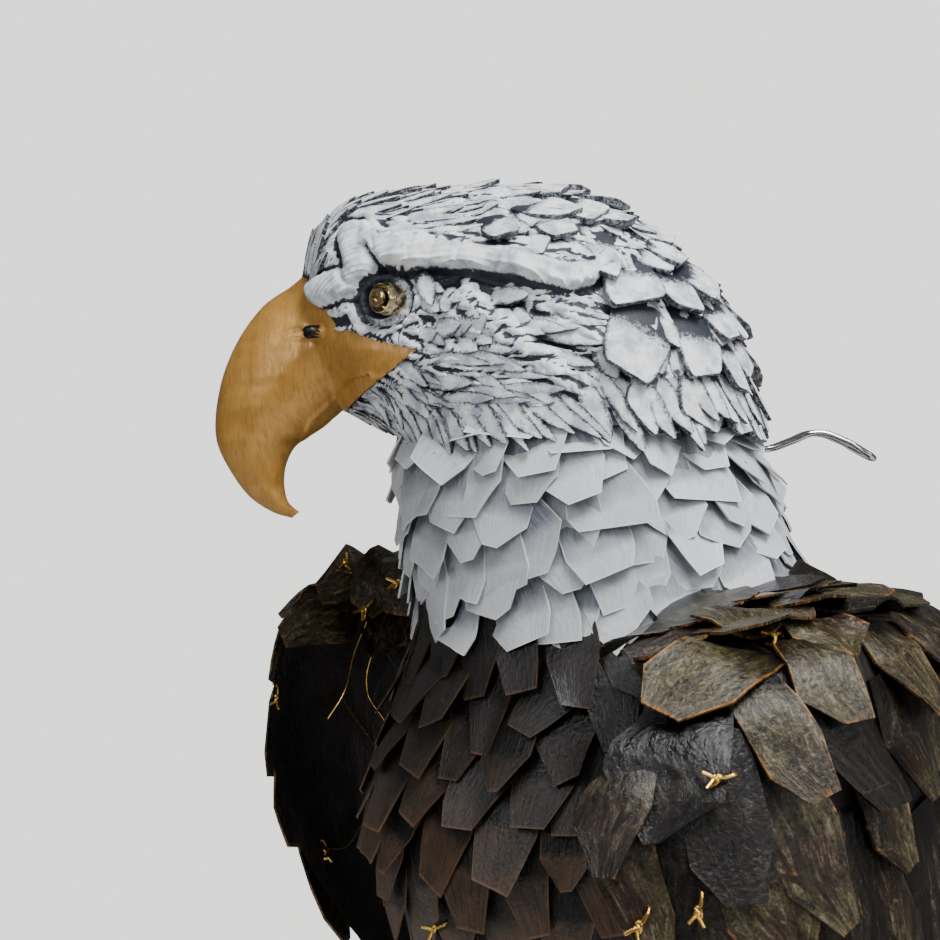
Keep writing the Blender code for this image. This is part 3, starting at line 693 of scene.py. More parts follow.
def stained_wood():
    """Close-grained hardwood turned to a disc, stained dark brown and waxed."""
    material, tree, shader = finish(
        "dark_stained_waxed_wood", Roughness=0.4, IOR=1.5, Coat_Weight=0.25, Coat_Roughness=0.25,
    )
    where = add(tree, "TexCoord", give="Object")
    # Growth rings about 4 mm apart, bent a little, with pores about 0.5 mm wide drawn out along the grain.
    bent = add(tree, "TexNoise", add(tree, "Mapping", where, None, None, (1, 1 / 3, 1)), per_mm(60.0), 3, 0.55)
    shifted = add(tree, "CombineXYZ", add(tree, "Math", bent, 0.03, operation="MULTIPLY"))
    moved = add(tree, "VectorMath", where, shifted, operation="ADD")
    rings = add(tree, "TexWave", moved, 38.0, 2.2, 3.0, 1.2, give="Fac", wave_type="BANDS", bands_direction="X")
    pores = add(tree, "TexNoise", add(tree, "Mapping", where, None, None, (1, 1 / 24, 1)), per_mm(0.6), 4, 0.7)
    body = add(tree, "Mix", rings, colour("#2E1F15"), colour("#442D1D"), data_type="RGBA")
    body = add(
        tree, "Mix",
        add(
            tree, "Math", add(tree, "MapRange", pores, 0.52, 0.7, interpolation_type="SMOOTHSTEP"), 0.7,
            operation="MULTIPLY",
        ),
        body, colour("#150E0A"), data_type="RGBA",
    )
    tree.links.new(body, shader.inputs["Base Color"])
    tree.links.new(
        add(tree, "MapRange", pores, 0.3, 0.7, 0.32, 0.55, interpolation_type="SMOOTHSTEP"),
        shader.inputs["Roughness"],
    )
    tree.links.new(
        add(
            tree, "Bump", 0.25, 0.25 * MM, None,
            add(tree, "Math", pores, add(tree, "Math", rings, 0.3, operation="MULTIPLY"), operation="ADD"),
        ),
        shader.inputs["Normal"],
    )
    return material


def horn():
    """Claws of painted clay: near black with a soft gloss."""
    material, tree, shader = finish("satin_black_claw_paint", Roughness=0.3, IOR=1.5)
    where = add(tree, "TexCoord", give="Object")
    veins = add(tree, "TexNoise", add(tree, "Mapping", where, None, None, (1, 1 / 3, 1)), per_mm(1.2), 4, 0.55)
    tree.links.new(
        add(tree, "Mix", veins, colour("#15120F"), colour("#3B3129"), data_type="RGBA"),
        shader.inputs["Base Color"],
    )
    tree.links.new(add(tree, "Bump", 0.2, 0.2 * MM, None, veins), shader.inputs["Normal"])
    return material


MATERIALS = {
    "clay": painted_clay("white_acrylic_over_blue_black_clay", False),
    "slab": painted_clay("white_acrylic_over_cut_clay_slabs", True), "sheet": painted_sheet(), "dark": dark_hide(),
    "olive": olive_hide(), "lining": black_lining(),
    "ochre": ochre_paint("satin_gold_ochre_paint", "#BC8C44", "#A67733", "#6E4A1C"),
    "yellow": ochre_paint("satin_yellow_ochre_paint", "#B98A3E", "#94692C", "#5B3F1A"), "brass": turned_brass(),
    "wire": brass_wire(), "steel": polished_steel(), "wood": stained_wood(), "horn": horn(),
}


# Making and placing pieces.

def alone(piece):
    """Makes the piece the only one that is selected."""
    bpy.ops.object.select_all(action="DESELECT")
    piece.select_set(True)
    bpy.context.view_layer.objects.active = piece
    return piece


def pick(test):
    """In edit mode, selects the points that pass the test and nothing else."""
    bm = bmesh.from_edit_mesh(bpy.context.object.data)
    for part in (bm.faces, bm.edges, bm.verts):
        for one in part:
            one.select_set(False)
    for point in bm.verts:
        if test(point.co):
            point.select_set(True)
    bm.select_flush(True)
    bmesh.update_edit_mesh(bpy.context.object.data)


def gathered(pieces):
    """Joins the pieces into the first of them."""
    bpy.ops.object.select_all(action="DESELECT")
    for piece in pieces:
        piece.select_set(True)
    bpy.context.view_layer.objects.active = pieces[0]
    bpy.ops.object.join()
    return bpy.context.object


def outward(shade=None):
    """Turns every face of the active piece outward, and shades it smooth below an angle in degrees."""
    bpy.ops.object.mode_set(mode="EDIT")
    bpy.ops.mesh.select_all(action="SELECT")
    bpy.ops.mesh.normals_make_consistent(inside=False)
    bpy.ops.object.mode_set(mode="OBJECT")
    if shade:
        bpy.ops.object.shade_smooth_by_angle(angle=math.radians(shade))


def apply_all(piece):
    alone(piece)
    for step in list(piece.modifiers):
        bpy.ops.object.modifier_apply(modifier=step.name)


def dress(piece, material, slot, *nodes):
    """The finish of a piece, the body it rides on and the CAD nodes it stands for."""
    piece.data.materials.clear()
    piece.data.materials.append(MATERIALS[material])
    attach(piece, "root")
    if nodes:
        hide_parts(*nodes)
    return piece


def cut_plate(name, outline, columns, thickness, hole=None):
    """One plate cut from sheet, root at -y and tip at +y. outline rows: along, left edge, right edge, as shares.

    It is a unit long and wide, thick in metres, and a hole is punched at a row and column of its grid.
    """
    bpy.ops.mesh.primitive_grid_add(x_subdivisions=columns, y_subdivisions=len(outline) - 1, size=1)
    piece = bpy.context.object
    piece.name = name
    bpy.ops.object.mode_set(mode="EDIT")
    last = len(outline) - 1
    for n, (place, left, right) in enumerate(outline):
        level = n / last - 0.5
        pick(lambda co: abs(co.y - level) < 1e-4 and abs(co.z) < 0.5)
        bpy.ops.transform.resize(value=(right - left, 1, 1), center_override=(0, level, 0))
        bpy.ops.transform.translate(value=((left + right) / 2, 0, 2.0 + n))
    # Each row waits at its own height while the others move, then comes down to its place along the plate.
    for n, (place, left, right) in enumerate(outline):
        pick(lambda co: abs(co.z - 2.0 - n) < 1e-3)
        bpy.ops.transform.translate(value=(0, place + 0.5 - n / last, -2.0 - n))
    if hole is not None:
        row, column = hole
        bm = bmesh.from_edit_mesh(piece.data)
        bm.verts.ensure_lookup_table()
        chosen = bm.verts[row * (columns + 1) + column].co.copy()
        pick(lambda co: (co - chosen).length < 1e-5)
        bpy.ops.mesh.bevel(offset=0.045, segments=3, affect="VERTICES")
        bpy.ops.mesh.delete(type="FACE")
    bpy.ops.object.mode_set(mode="OBJECT")
    wall = piece.modifiers.new("wall", "SOLIDIFY")
    wall.thickness = thickness
    wall.offset = -1
    apply_all(piece)
    piece.data.attributes.new("tone", "FLOAT", "POINT")
    return piece


def bent(size, lift, shape, points):
    """A plate's points in its own plane, in millimetres: share of its length, across, down, and height out of the
    plane.
    """
    camber, curl, roll, corner, slant, ripple, flare = shape
    share = points[:, 1] + 0.5
    x, y = points[:, 0] * size[0] * (1 + flare * (2 * share - 1)), points[:, 1] * size[1]
    y = y + slant * x * np.clip(share * 2 - 1, 0, 1)
    height = lift[0] + (lift[1] - lift[0]) * share + camber * (0.25 - points[:, 0] ** 2) * 4
    height = height + curl * share ** 3 + roll * points[:, 0] * 2
    height = height + abs(corner) * np.maximum(points[:, 0] * math.copysign(1.1, corner) + share - 1.0, 0)
    return share, x, y, height + ripple * share * np.sin(points[:, 0] * 8.5 + size[0] * 3 + share * 1.4)


def laid(surface, place, size, turn, lift, stiff, shape, points):
    """Where a plate's points come when it is laid on a surface.

    place is its middle in u and v, size its width and length in millimetres, turn its turn on the surface, lift its
    height at root and tip, stiff how flat its free half stays, and shape how it is bent.
    """
    share, x, y, height = bent(size, lift, shape, points)
    across = x * math.cos(turn) - y * math.sin(turn)
    down = x * math.sin(turn) + y * math.cos(turn)
    middle, along_u, along_v = tangents(surface, np.float64(place[0]), np.float64(place[1]))
    way_down = unit(along_v)
    way_across = unit(along_u - way_down * (along_u @ way_down))
    step_u = across * MM / (along_u @ way_across)
    step_v = (down * MM - step_u * (along_u @ way_down)) / np.linalg.norm(along_v)
    spot, slope_u, slope_v = tangents(surface, place[0] + step_u, place[1] + step_v)
    out = unit(np.cross(slope_v, slope_u))
    flat_out = unit(np.cross(way_down, way_across))
    flat = middle + np.outer(across, way_across) * MM + np.outer(down, way_down) * MM
    # The root half hugs what it is glued to, and only the free half stands flat.
    hold = stiff * np.clip((share - 0.2) / 0.5, 0, 1)[:, None]
    spot = spot * (1 - hold) + flat * hold
    out = unit(out * (1 - hold) + flat_out * hold)
    return spot + out * (height * MM + points[:, 2])[:, None]


def faced(carrier, template, place, size, turn, lift, facing, shape, tone):
    """A plate laid where the photograph shows its middle, and tipped from the form's own face towards the lens.

    The turn is in the picture: at 0 the tip hangs straight down, and above 0 it swings to the right.
    """
    spot, normal = seen_at(carrier, *place)
    sight = (spot - EYE).normalized()
    out = (normal * (1 - facing) - sight * facing).normalized()
    down = Matrix.Rotation(-math.radians(turn), 3, sight) @ Vector((0, 0, -1))
    down = (down - out * down.dot(out)).normalized()
    points = POINTS[template.name]
    share, x, y, height = bent(size, lift, shape, points)
    flat = np.array(spot) + np.outer(x * MM, down.cross(out)) + np.outer(y * MM, down)
    held = [carrier.find_nearest(Vector(place)) for place in flat]
    base = np.array([place for place, _, _, _ in held])
    rise = unit(np.array([normal if normal.dot(out) > 0 else -normal for _, normal, _, _ in held]))
    # The root half hugs what it is glued to, and only the free half stands towards the lens.
    free = np.clip((share - 0.14) / 0.3, 0, 1)[:, None]
    sunk = max(0.0, -((flat - base) * rise).sum(axis=1)[share > 0.4].min())
    flat = flat + np.array(out) * sunk * free
    rise = unit(rise * (1 - free) + np.array(out) * free)
    return add_copy(template, base * (1 - free) + flat * free + rise * (height * MM + points[:, 2])[:, None], tone)


def add_copy(template, positions, tone):
    """A copy of a plate with its own mesh, moved point by point to its place."""
    piece = template.copy()
    piece.data = template.data.copy()
    bpy.context.scene.collection.objects.link(piece)
    piece.data.vertices.foreach_set("co", positions.astype(np.float32).ravel())
    piece.data.attributes["tone"].data.foreach_set("value", np.full(len(positions), tone, np.float32))
    return piece


def template_points(template):
    points = np.empty(len(template.data.vertices) * 3, np.float32)
    template.data.vertices.foreach_get("co", points)
    return points.reshape(-1, 3).astype(float)


def joined(name, pieces):
    """The pieces as one, with every plate's faces pointing out."""
    piece = gathered(pieces)
    piece.name = name
    outward(38)
    return piece


def wrapped(name, surface, columns, rows):
    """A closed skin over surface(u, v), u once round: a cylinder's wall, set row by row on the form, and its ends
    closed.
    """
    bpy.ops.mesh.primitive_cylinder_add(vertices=columns, depth=2, radius=1, end_fill_type="NOTHING")
    piece = bpy.context.object
    piece.name = name
    bpy.ops.object.mode_set(mode="EDIT")
    bm = bmesh.from_edit_mesh(piece.data)
    upright = [edge for edge in bm.edges if abs(edge.verts[0].co.z - edge.verts[1].co.z) > 1]
    bmesh.ops.subdivide_edges(bm, edges=upright, cuts=rows - 1)
    bmesh.update_edit_mesh(piece.data)
    bpy.ops.object.mode_set(mode="OBJECT")
    points = template_points(piece)
    u = (np.arctan2(points[:, 1], points[:, 0]) / (2 * np.pi)) % 1.0
    v = np.round((1 - points[:, 2]) / 2 * rows) / rows
    piece.data.vertices.foreach_set("co", surface(u, v).astype(np.float32).ravel())
    bpy.ops.object.mode_set(mode="EDIT")
    bpy.ops.mesh.select_all(action="SELECT")
    bpy.ops.mesh.fill_holes(sides=0)
    bpy.ops.object.mode_set(mode="OBJECT")
    outward(50)
    return piece, u, v


def grid_places(u, v, columns, rows):
    """The row and column of the points of a wrapped piece."""
    return np.round(v * rows).astype(int), np.round(u * columns).astype(int) % columns


def set_relief(piece, values):
    """Writes how high each point stands over what is round it, with painted light and shade added in places, for
    the paint to follow.
    """
    piece.data.attributes.new("relief_and_painted_shading", "FLOAT", "POINT").data.foreach_set("value", values.astype(np.float32))


# The plates, each modelled once.

def outline(left, right, between=(-0.2, 0.25)):
    """The rows of a plate whose sides run straight between their corners: along, left edge, right edge."""
    levels = sorted({*between, *(corner[0] for corner in left + right)})
    return [
        (level, float(np.interp(level, *zip(*left))), float(np.interp(level, *zip(*right))))
        for level in levels
    ]


PLATES = {
    name: cut_plate("plate_" + name, outline(left, right), 4, 0.0008) for name, left, right in (
        ("pentagon", [(-0.5, -0.42), (0.1, -0.5), (0.5, -0.1)], [(-0.5, 0.42), (0.16, 0.5), (0.5, 0.16)]),
        ("hexagon", [(-0.5, -0.44), (0.14, -0.5), (0.5, -0.3)], [(-0.5, 0.44), (0.06, 0.5), (0.5, 0.22)]),
        ("slanted", [(-0.5, -0.46), (0.3, -0.5), (0.5, -0.42)], [(-0.5, 0.42), (0.0, 0.5), (0.5, 0.02)]),
        ("tapered", [(-0.5, -0.5), (-0.1, -0.5), (0.5, -0.24)], [(-0.5, 0.5), (-0.05, 0.5), (0.5, 0.26)]),
        ("square", [(-0.5, -0.42), (0.1, -0.5), (0.5, -0.4)], [(-0.5, 0.45), (0.22, 0.5), (0.5, 0.4)]),
        ("cut_tip", [(-0.5, -0.5), (0.05, -0.44), (0.5, -0.16)], [(-0.5, 0.5), (-0.05, 0.5), (0.5, 0.26)]),
        ("spear", [(-0.5, -0.5), (0.2, -0.42), (0.5, -0.05)], [(-0.5, 0.48), (0.12, 0.46), (0.5, 0.12)]),
    )
}
PLATES["punched"] = cut_plate("plate_punched", [
    (-0.5, -0.42, 0.45), (-0.2, -0.46, 0.48), (0.1, -0.5, 0.5), (0.3, -0.4, 0.38), (0.5, -0.24, 0.28),
], 4, 0.0008, hole=(3, 2))
COVERTS_CUT = [
    cut_plate("plate_covert_" + name, outline(left, right, (-0.3, -0.1, 0.0, 0.35)), 6, 0.0011)
    for name, left, right in (
        ("blunt", [(-0.5, -0.38), (0.14, -0.5), (0.5, -0.3)], [(-0.5, 0.36), (0.26, 0.5), (0.5, 0.2)]),
        ("pointed", [(-0.5, -0.36), (0.22, -0.5), (0.5, -0.06)], [(-0.5, 0.4), (0.08, 0.5), (0.5, 0.08)]),
        ("skew", [(-0.5, -0.42), (0.34, -0.5), (0.5, -0.42)], [(-0.5, 0.38), (-0.04, 0.5), (0.5, 0.04)]),
        ("long", [(-0.5, -0.32), (0.0, -0.46), (0.5, -0.22)], [(-0.5, 0.3), (0.2, 0.48), (0.5, 0.1)]),
    )
]
QUILL = cut_plate("plate_quill", [
    (-0.5, -0.4, 0.4), (-0.35, -0.45, 0.45), (-0.18, -0.5, 0.5), (0.0, -0.5, 0.5), (0.18, -0.48, 0.47),
    (0.34, -0.36, 0.38), (0.5, -0.14, 0.1),
], 4, 0.0012)
SLAB = cut_plate("plate_slab", [
    (-0.5, -0.4, 0.42), (-0.25, -0.47, 0.48), (0.0, -0.5, 0.5), (0.25, -0.49, 0.48), (0.42, -0.42, 0.44),
    (0.5, -0.34, 0.36),
], 5, 0.0027)
STROKE = cut_plate("plate_stroke", [
    (-0.5, -0.3, 0.3), (-0.25, -0.45, 0.45), (0.0, -0.5, 0.48), (0.25, -0.38, 0.36), (0.42, -0.2, 0.2),
    (0.5, -0.05, 0.07),
], 3, 0.0018)
# Paint covers a stroke's back and thins out along its edges, and its root gets painted shade where it meets what
# lies under it.
STROKE_POINTS = template_points(STROKE)
STROKE_REACH = [max(abs(STROKE_POINTS[abs(STROKE_POINTS[:, 1] - y) < 1e-4, 0])) for y in STROKE_POINTS[:, 1]]
STROKE_BACK = abs(STROKE_POINTS[:, 0]) < 0.6 * np.array(STROKE_REACH)
set_relief(STROKE, np.where(STROKE_BACK, 0.62, 0.42) - 0.25 * (STROKE_POINTS[:, 1] < -0.4))
POINTS = {
    template.name: template_points(template)
    for template in [*PLATES.values(), *COVERTS_CUT, QUILL, SLAB, STROKE]
}


def bends(chance, strength=1.0, lap=0.0):
    """How one plate is bent, by chance: its camber, curl, roll, corner, slanted tip, ripple and flare."""
    return (
        chance.uniform(-0.8, 1.8) * strength, chance.uniform(-1.6, 1.8) * strength,
        lap + chance.uniform(-1.6, 1.6) * strength, chance.uniform(-4.0, 4.0) * strength,
        chance.uniform(-0.34, 0.34), chance.uniform(-0.6, 0.6) * strength, chance.uniform(-0.2, 0.16),
    )


def scatter(surface, template, place, size, turn, lift, stiff, shape, tone):
    positions = laid(surface, place, size, turn, lift, stiff, shape, POINTS[template.name])
    return add_copy(template, positions, tone)


# Neck.

PER_NECK_ROW = 21


def neck_plates():
    """Rows of white plates. The roots of the first two rows go in under the head."""
    chance = random.Random(21)
    pieces = []
    for k in range(8):
        for i in range(PER_NECK_ROW):
            u = (i + 0.5 * (k % 2) + chance.uniform(-0.22, 0.22)) / PER_NECK_ROW
            # The white ends higher over the chest than at the sides.
            chest = near(abs((u - 0.72 + 0.5) % 1 - 0.5), 0.11)
            height = 542 - k * (11.5 - chest)
            kind = chance.choice(
                ["pentagon", "hexagon", "slanted", "square", "hexagon", "pentagon", "tapered", "square"]
            )
            if chance.random() < 0.07:
                kind = "punched"
            width, length = chance.uniform(21, 32), chance.uniform(23, 31)
            place = (u, body_row(height + chance.uniform(-5, 5)))
            root = (-18, -9, -2, 0.3)[min(k, 3)]
            pieces.append(scatter(
                body_surface, PLATES[kind], place, (width, length), math.radians(chance.uniform(-28, 28)),
                (root, chance.uniform(3.6, 7.0) - (3.0 if k == 0 else 0.0)), chance.uniform(0.5, 0.9),
                bends(chance, 1.0 if k else 0.4, 0.6), chance.random(),
            ))
    return joined("neck_plates", pieces)


def make_neck():
    top, foot = body_row(548), body_row(459)

    def inner(u, v):
        """The neck under its plates, drawn in towards the head."""
        height, middle, half_width, half_depth = np.moveaxis(along(BODY, top + (foot - top) * v), -1, 0)
        inset = 1.5 + 15 * step_up(height, 505, 545)
        angle = 2 * np.pi * u
        return figure((half_width - inset) * np.cos(angle), middle + (half_depth - inset) * np.sin(angle), height)

    core, _, _ = wrapped("neck_core", inner, 64, 24)
    dress(core, "lining", "white_hide")
    dress(neck_plates(), "sheet", "white_hide", "neck")


# Body.

def make_torso():
    low, high = body_row(233), body_row(460)
    core, _, _ = wrapped("torso_core", lambda u, v: body_surface(u, high + (low - high) * v), 72, 48)
    dress(core, "lining", "dark_hide")
    chance = random.Random(22)
    pieces = []
    for k in range(14):
        height = 472 - k * 16.6
        count = 27 if k < 10 else 23
        for i in range(count):
            u = (i + 0.5 * (k % 2) + chance.uniform(-0.14, 0.14)) / count
            kind = chance.choice(["tapered", "cut_tip", "spear", "cut_tip", "spear", "tapered", "slanted"])
            width, length = chance.uniform(20, 27), chance.uniform(34, 44)
            pieces.append(scatter(
                body_surface, PLATES[kind], (u, body_row(height + chance.uniform(-4, 4))), (width, length),
                math.radians(chance.uniform(-18, 18)),
                (-3 if k == 0 else 0.2, chance.uniform(6.0, 10.0) - (3 if k == 0 else 0)), chance.uniform(0.5, 0.9),
                bends(chance, 1.0, 0.6), chance.random(),
            ))
    return dress(joined("torso_plates", pieces), "dark", "dark_hide", "torso")


# Head.

BROW_EDGE = [
    (83, 606), (79, 600), (67.5, 598.3), (57.6, 597.9), (50.4, 596.4), (37.8, 595.2), (27.9, 593.3), (20.7, 590.6),
    (6.6, 587.2), (-1, 589.5), (-7, 596),
]
LOBES = [((103.5, 591.5), (90.5, 594.6), 6.8, 4.0), ((89.5, 612), (86.5, 599.5), 6.8, 4.8)]
EAR_GROOVE = [(35.6, 589.8), (25.9, 582.6), (13.5, 571.7), (1.5, 563.1), (-8.7, 556.3)]
EYE_PLACE = (78, 587)
FACE_EDGE = [(112, 598), (97, 577), (65, 567), (95, 545), (97, 480)]


def beak_side(f, z):
    """How deep a place of the head is inside the feathers' edge round the beak, in millimetres."""
    away, _ = line_distance(f, z, FACE_EDGE)
    upper = z < 577 + (f - 97) * 1.4
    upper = np.where(f < 97, z < 567 + (f - 65) * 10 / 32, upper)
    lower = np.where(f < 95, z > 567 - (f - 65) * 22 / 30, True)
    inside = (f > 65) & upper & lower
    return np.where(inside, away, -away)


def wavy(f, z, scale, seed):
    """A cheap smooth wobble from -1 to 1."""
    a = np.sin(f / scale + seed) * np.cos(z / scale * 1.3 - seed * 1.7)
    b = np.sin((f + z) / scale * 2.3 + seed * 3.1) * np.cos((f - z) / scale * 1.9 + seed)
    return 0.6 * a + 0.4 * b


def head_features(f, side, z):
    """The large modelled forms of the face, in millimetres out of the plain head, and how much is smooth clay."""
    facing = np.clip(np.abs(side) / 14, 0, 1)
    away, _ = line_distance(f, z, BROW_EDGE)
    edge_z = np.interp(f, [p[0] for p in BROW_EDGE[::-1]], [p[1] for p in BROW_EDGE[::-1]])
    above = z - edge_z
    reach = step_up(f, -22, -4) * step_up(-f, -92, -83)
    deep = np.interp(f, [-7, 6, 20, 37, 56, 72, 82], [8, 12, 12, 10, 12, 15, 12])
    brow = 6.6 * step_up(above, -0.6, 1.6) * near(np.maximum(above - 0.45 * deep, 0), 0.62 * deep) * reach
    # The band is pressed in flats about 24 mm long, with a few short cuts across it.
    flats = 1.4 * np.abs((f / 24 + z / 60) % 1 - 0.5) * 2
    cuts = sum(near(f - place + 0.25 * (above - 5), 0.55) for place in (2, 13, 30, 33, 48, 58, 66))
    carved = flats - 0.9 * cuts + 0.35 * wavy(f, z, 3.0, 2.2)
    brow = brow + carved * step_up(above, 0, 2) * step_up(-above, -deep, -0.6 * deep) * reach
    strength = np.interp(f, [-10, 12, 36, 60], [0.0, 0.6, 1.2, 4.6])
    under = -strength * step_up(-above, 0.2, 1.8) * near(np.maximum(-above - 1.5, 0), 2.4 + 0.8 * strength) * reach
    form = brow + under
    smooth = step_up(above, -1.0, 0.6) * step_up(-above, -deep, -0.7 * deep) * reach
    for (start, end, radius, rise) in LOBES:
        far, _ = line_distance(f, z, [start, end])
        lump = np.clip(1 - (far / radius) ** 3, 0, 1)
        groove = near(far - radius - 0.6, 0.8)
        form = np.where(lump > 0, np.maximum(form, rise * lump + 0.3), form) - 1.7 * groove
        smooth = np.maximum(smooth, step_up(lump, 0.1, 0.3))
    eye = np.hypot(f - EYE_PLACE[0], z - EYE_PLACE[1])
    # A washer of clay lies round the eye, and the hole in it is deep.
    ring = step_up(-eye, -11.2, -10.2)
    hole = np.hypot(f - EYE_PLACE[0] - 1.4, z - EYE_PLACE[1])
    form = np.where(eye < 12.5, form * (1 - ring) + ring * (-1.2 - 6.5 * step_up(-hole, -7.6, -6.7)), form)
    form = form - 2.0 * near(eye - 11.4, 0.9)
    smooth = np.where(eye < 11.2, 0.75, smooth)
    groove, _ = line_distance(f, z, EAR_GROOVE)
    form = form - 2.4 * near(groove, 4.5) + 2.0 * near(groove - 10, 6) * step_up(z, 545, 560)
    return form * facing, smooth * facing


def stroke_kind(f, side, z, chance):
    """Length, width, rise and spread of angle of a stroke of clay at a place, and how far it leans down or runs
    back.
    """
    edge_z = np.interp(f, [-7, 6.6, 37.8, 67.5, 83], [592, 587, 595, 598, 604])
    if abs(side) < 22 or z > edge_z + 12:
        if f > 42:
            return chance.uniform(16, 32), chance.uniform(2.8, 4.8), 1.9, 8, None
        return chance.uniform(13, 24), chance.uniform(5, 10), 2.9, 20, None
    if f > 20 and z > 566:
        return chance.uniform(8, 17), chance.uniform(4.5, 9.5), 2.3, 30, 0.25
    if f < -2:
        return chance.uniform(14, 24), chance.uniform(6, 11), 1.8, 18, 1.6
    sag = 0.14 + 0.4 * step_up(-f, -20, 12) + 0.45 * step_up(f, 58, 80)
    return chance.uniform(18, 36), chance.uniform(3.6, 7.0), 2.5, 7, sag


def strokes_on_head(base, out, f, side, z, smooth, along_v):
    """Hundreds of laid strokes of clay. Later ones lie over the roots of earlier ones, as feathers do."""
    chance = np.random.default_rng(23)
    rows, columns = f.shape
    height = np.zeros(f.shape)
    step_round = np.linalg.norm(np.roll(base, -1, 1) - base, axis=-1) / MM
    step_along = np.linalg.norm(np.diff(base, axis=0, append=base[-1:] * 2 - base[-2:-1]), axis=-1) / MM
    cell = (step_round * step_along).ravel()
    chosen = chance.choice(cell.size, size=1750, p=cell / cell.sum())
    chosen = chosen[np.argsort(-(chosen // columns) + chance.uniform(-12, 12, chosen.size))]
    down = np.array((0, 0, -1.0))
    for n in chosen:
        i, j = divmod(int(n), columns)
        length, width, rise, wild, sag = stroke_kind(f[i, j], side[i, j], z[i, j], chance)
        normal = out[i, j]
        if sag is None:
            way = unit(along_v[i, j])
        else:
            fall = unit(down - normal * (down @ normal) + 1e-9)
            rear = unit(normal * (FORWARD @ normal) - FORWARD + 1e-9)
            way = unit(rear + sag * fall)
        angle = math.radians(chance.normal(0, wild))
        way = unit(way * math.cos(angle) + np.cross(normal, way) * math.sin(angle))
        aside = np.cross(normal, way)
        # Only the part of the grid that the stroke can reach is worked on.
        reach = length / 2 + width
        up_down = int(reach / max(step_along[i, j], 0.25)) + 2
        left_right = int(reach / max(step_round[i, j], 0.25)) + 2
        part = np.ix_(
            np.arange(max(0, i - up_down), min(rows, i + up_down + 1)),
            np.arange(j - left_right, j + left_right + 1) % columns,
        )
        delta = (base[part] - base[i, j]) / MM
        a = delta @ way / length + 0.5
        b = delta @ aside + chance.uniform(-1.0, 1.0) * np.sin(a * 5)
        taper = chance.uniform(0.4, 0.95)
        point = np.clip((1 - a) / (0.12 + 0.55 * taper), 0.04, 1)
        half = width / 2 * point * (0.45 + 0.55 * np.clip(a * 4, 0, 1))
        inside = (a > 0) & (a < 1) & (np.abs(b) < half) & (np.abs(delta @ normal) < 12)
        ratio = np.clip(b / half, -1, 1)
        cross = np.clip(
            (1 - np.abs(ratio)) * chance.uniform(1.8, 4.5), 0, 1,
        ) * (1 + chance.uniform(-0.45, 0.45) * ratio)
        tall = rise * chance.uniform(0.6, 1.15) * (0.25 + 0.75 * np.clip(a, 0, 1) ** 0.9) * cross
        local = height[part]
        height[part] = np.where(inside, np.maximum(tall, 0.1) + 0.2 * local * cross, local)
    return height * (1 - 0.95 * smooth)


def blurred(values, times):
    """Softens a grid that closes round its second side."""
    for _ in range(times):
        values = (np.roll(values, 1, 1) + values + np.roll(values, -1, 1)) / 3
        padded = np.concatenate([values[:1], values, values[-1:]])
        values = (padded[:-2] + padded[1:-1] + padded[2:]) / 3
    return values


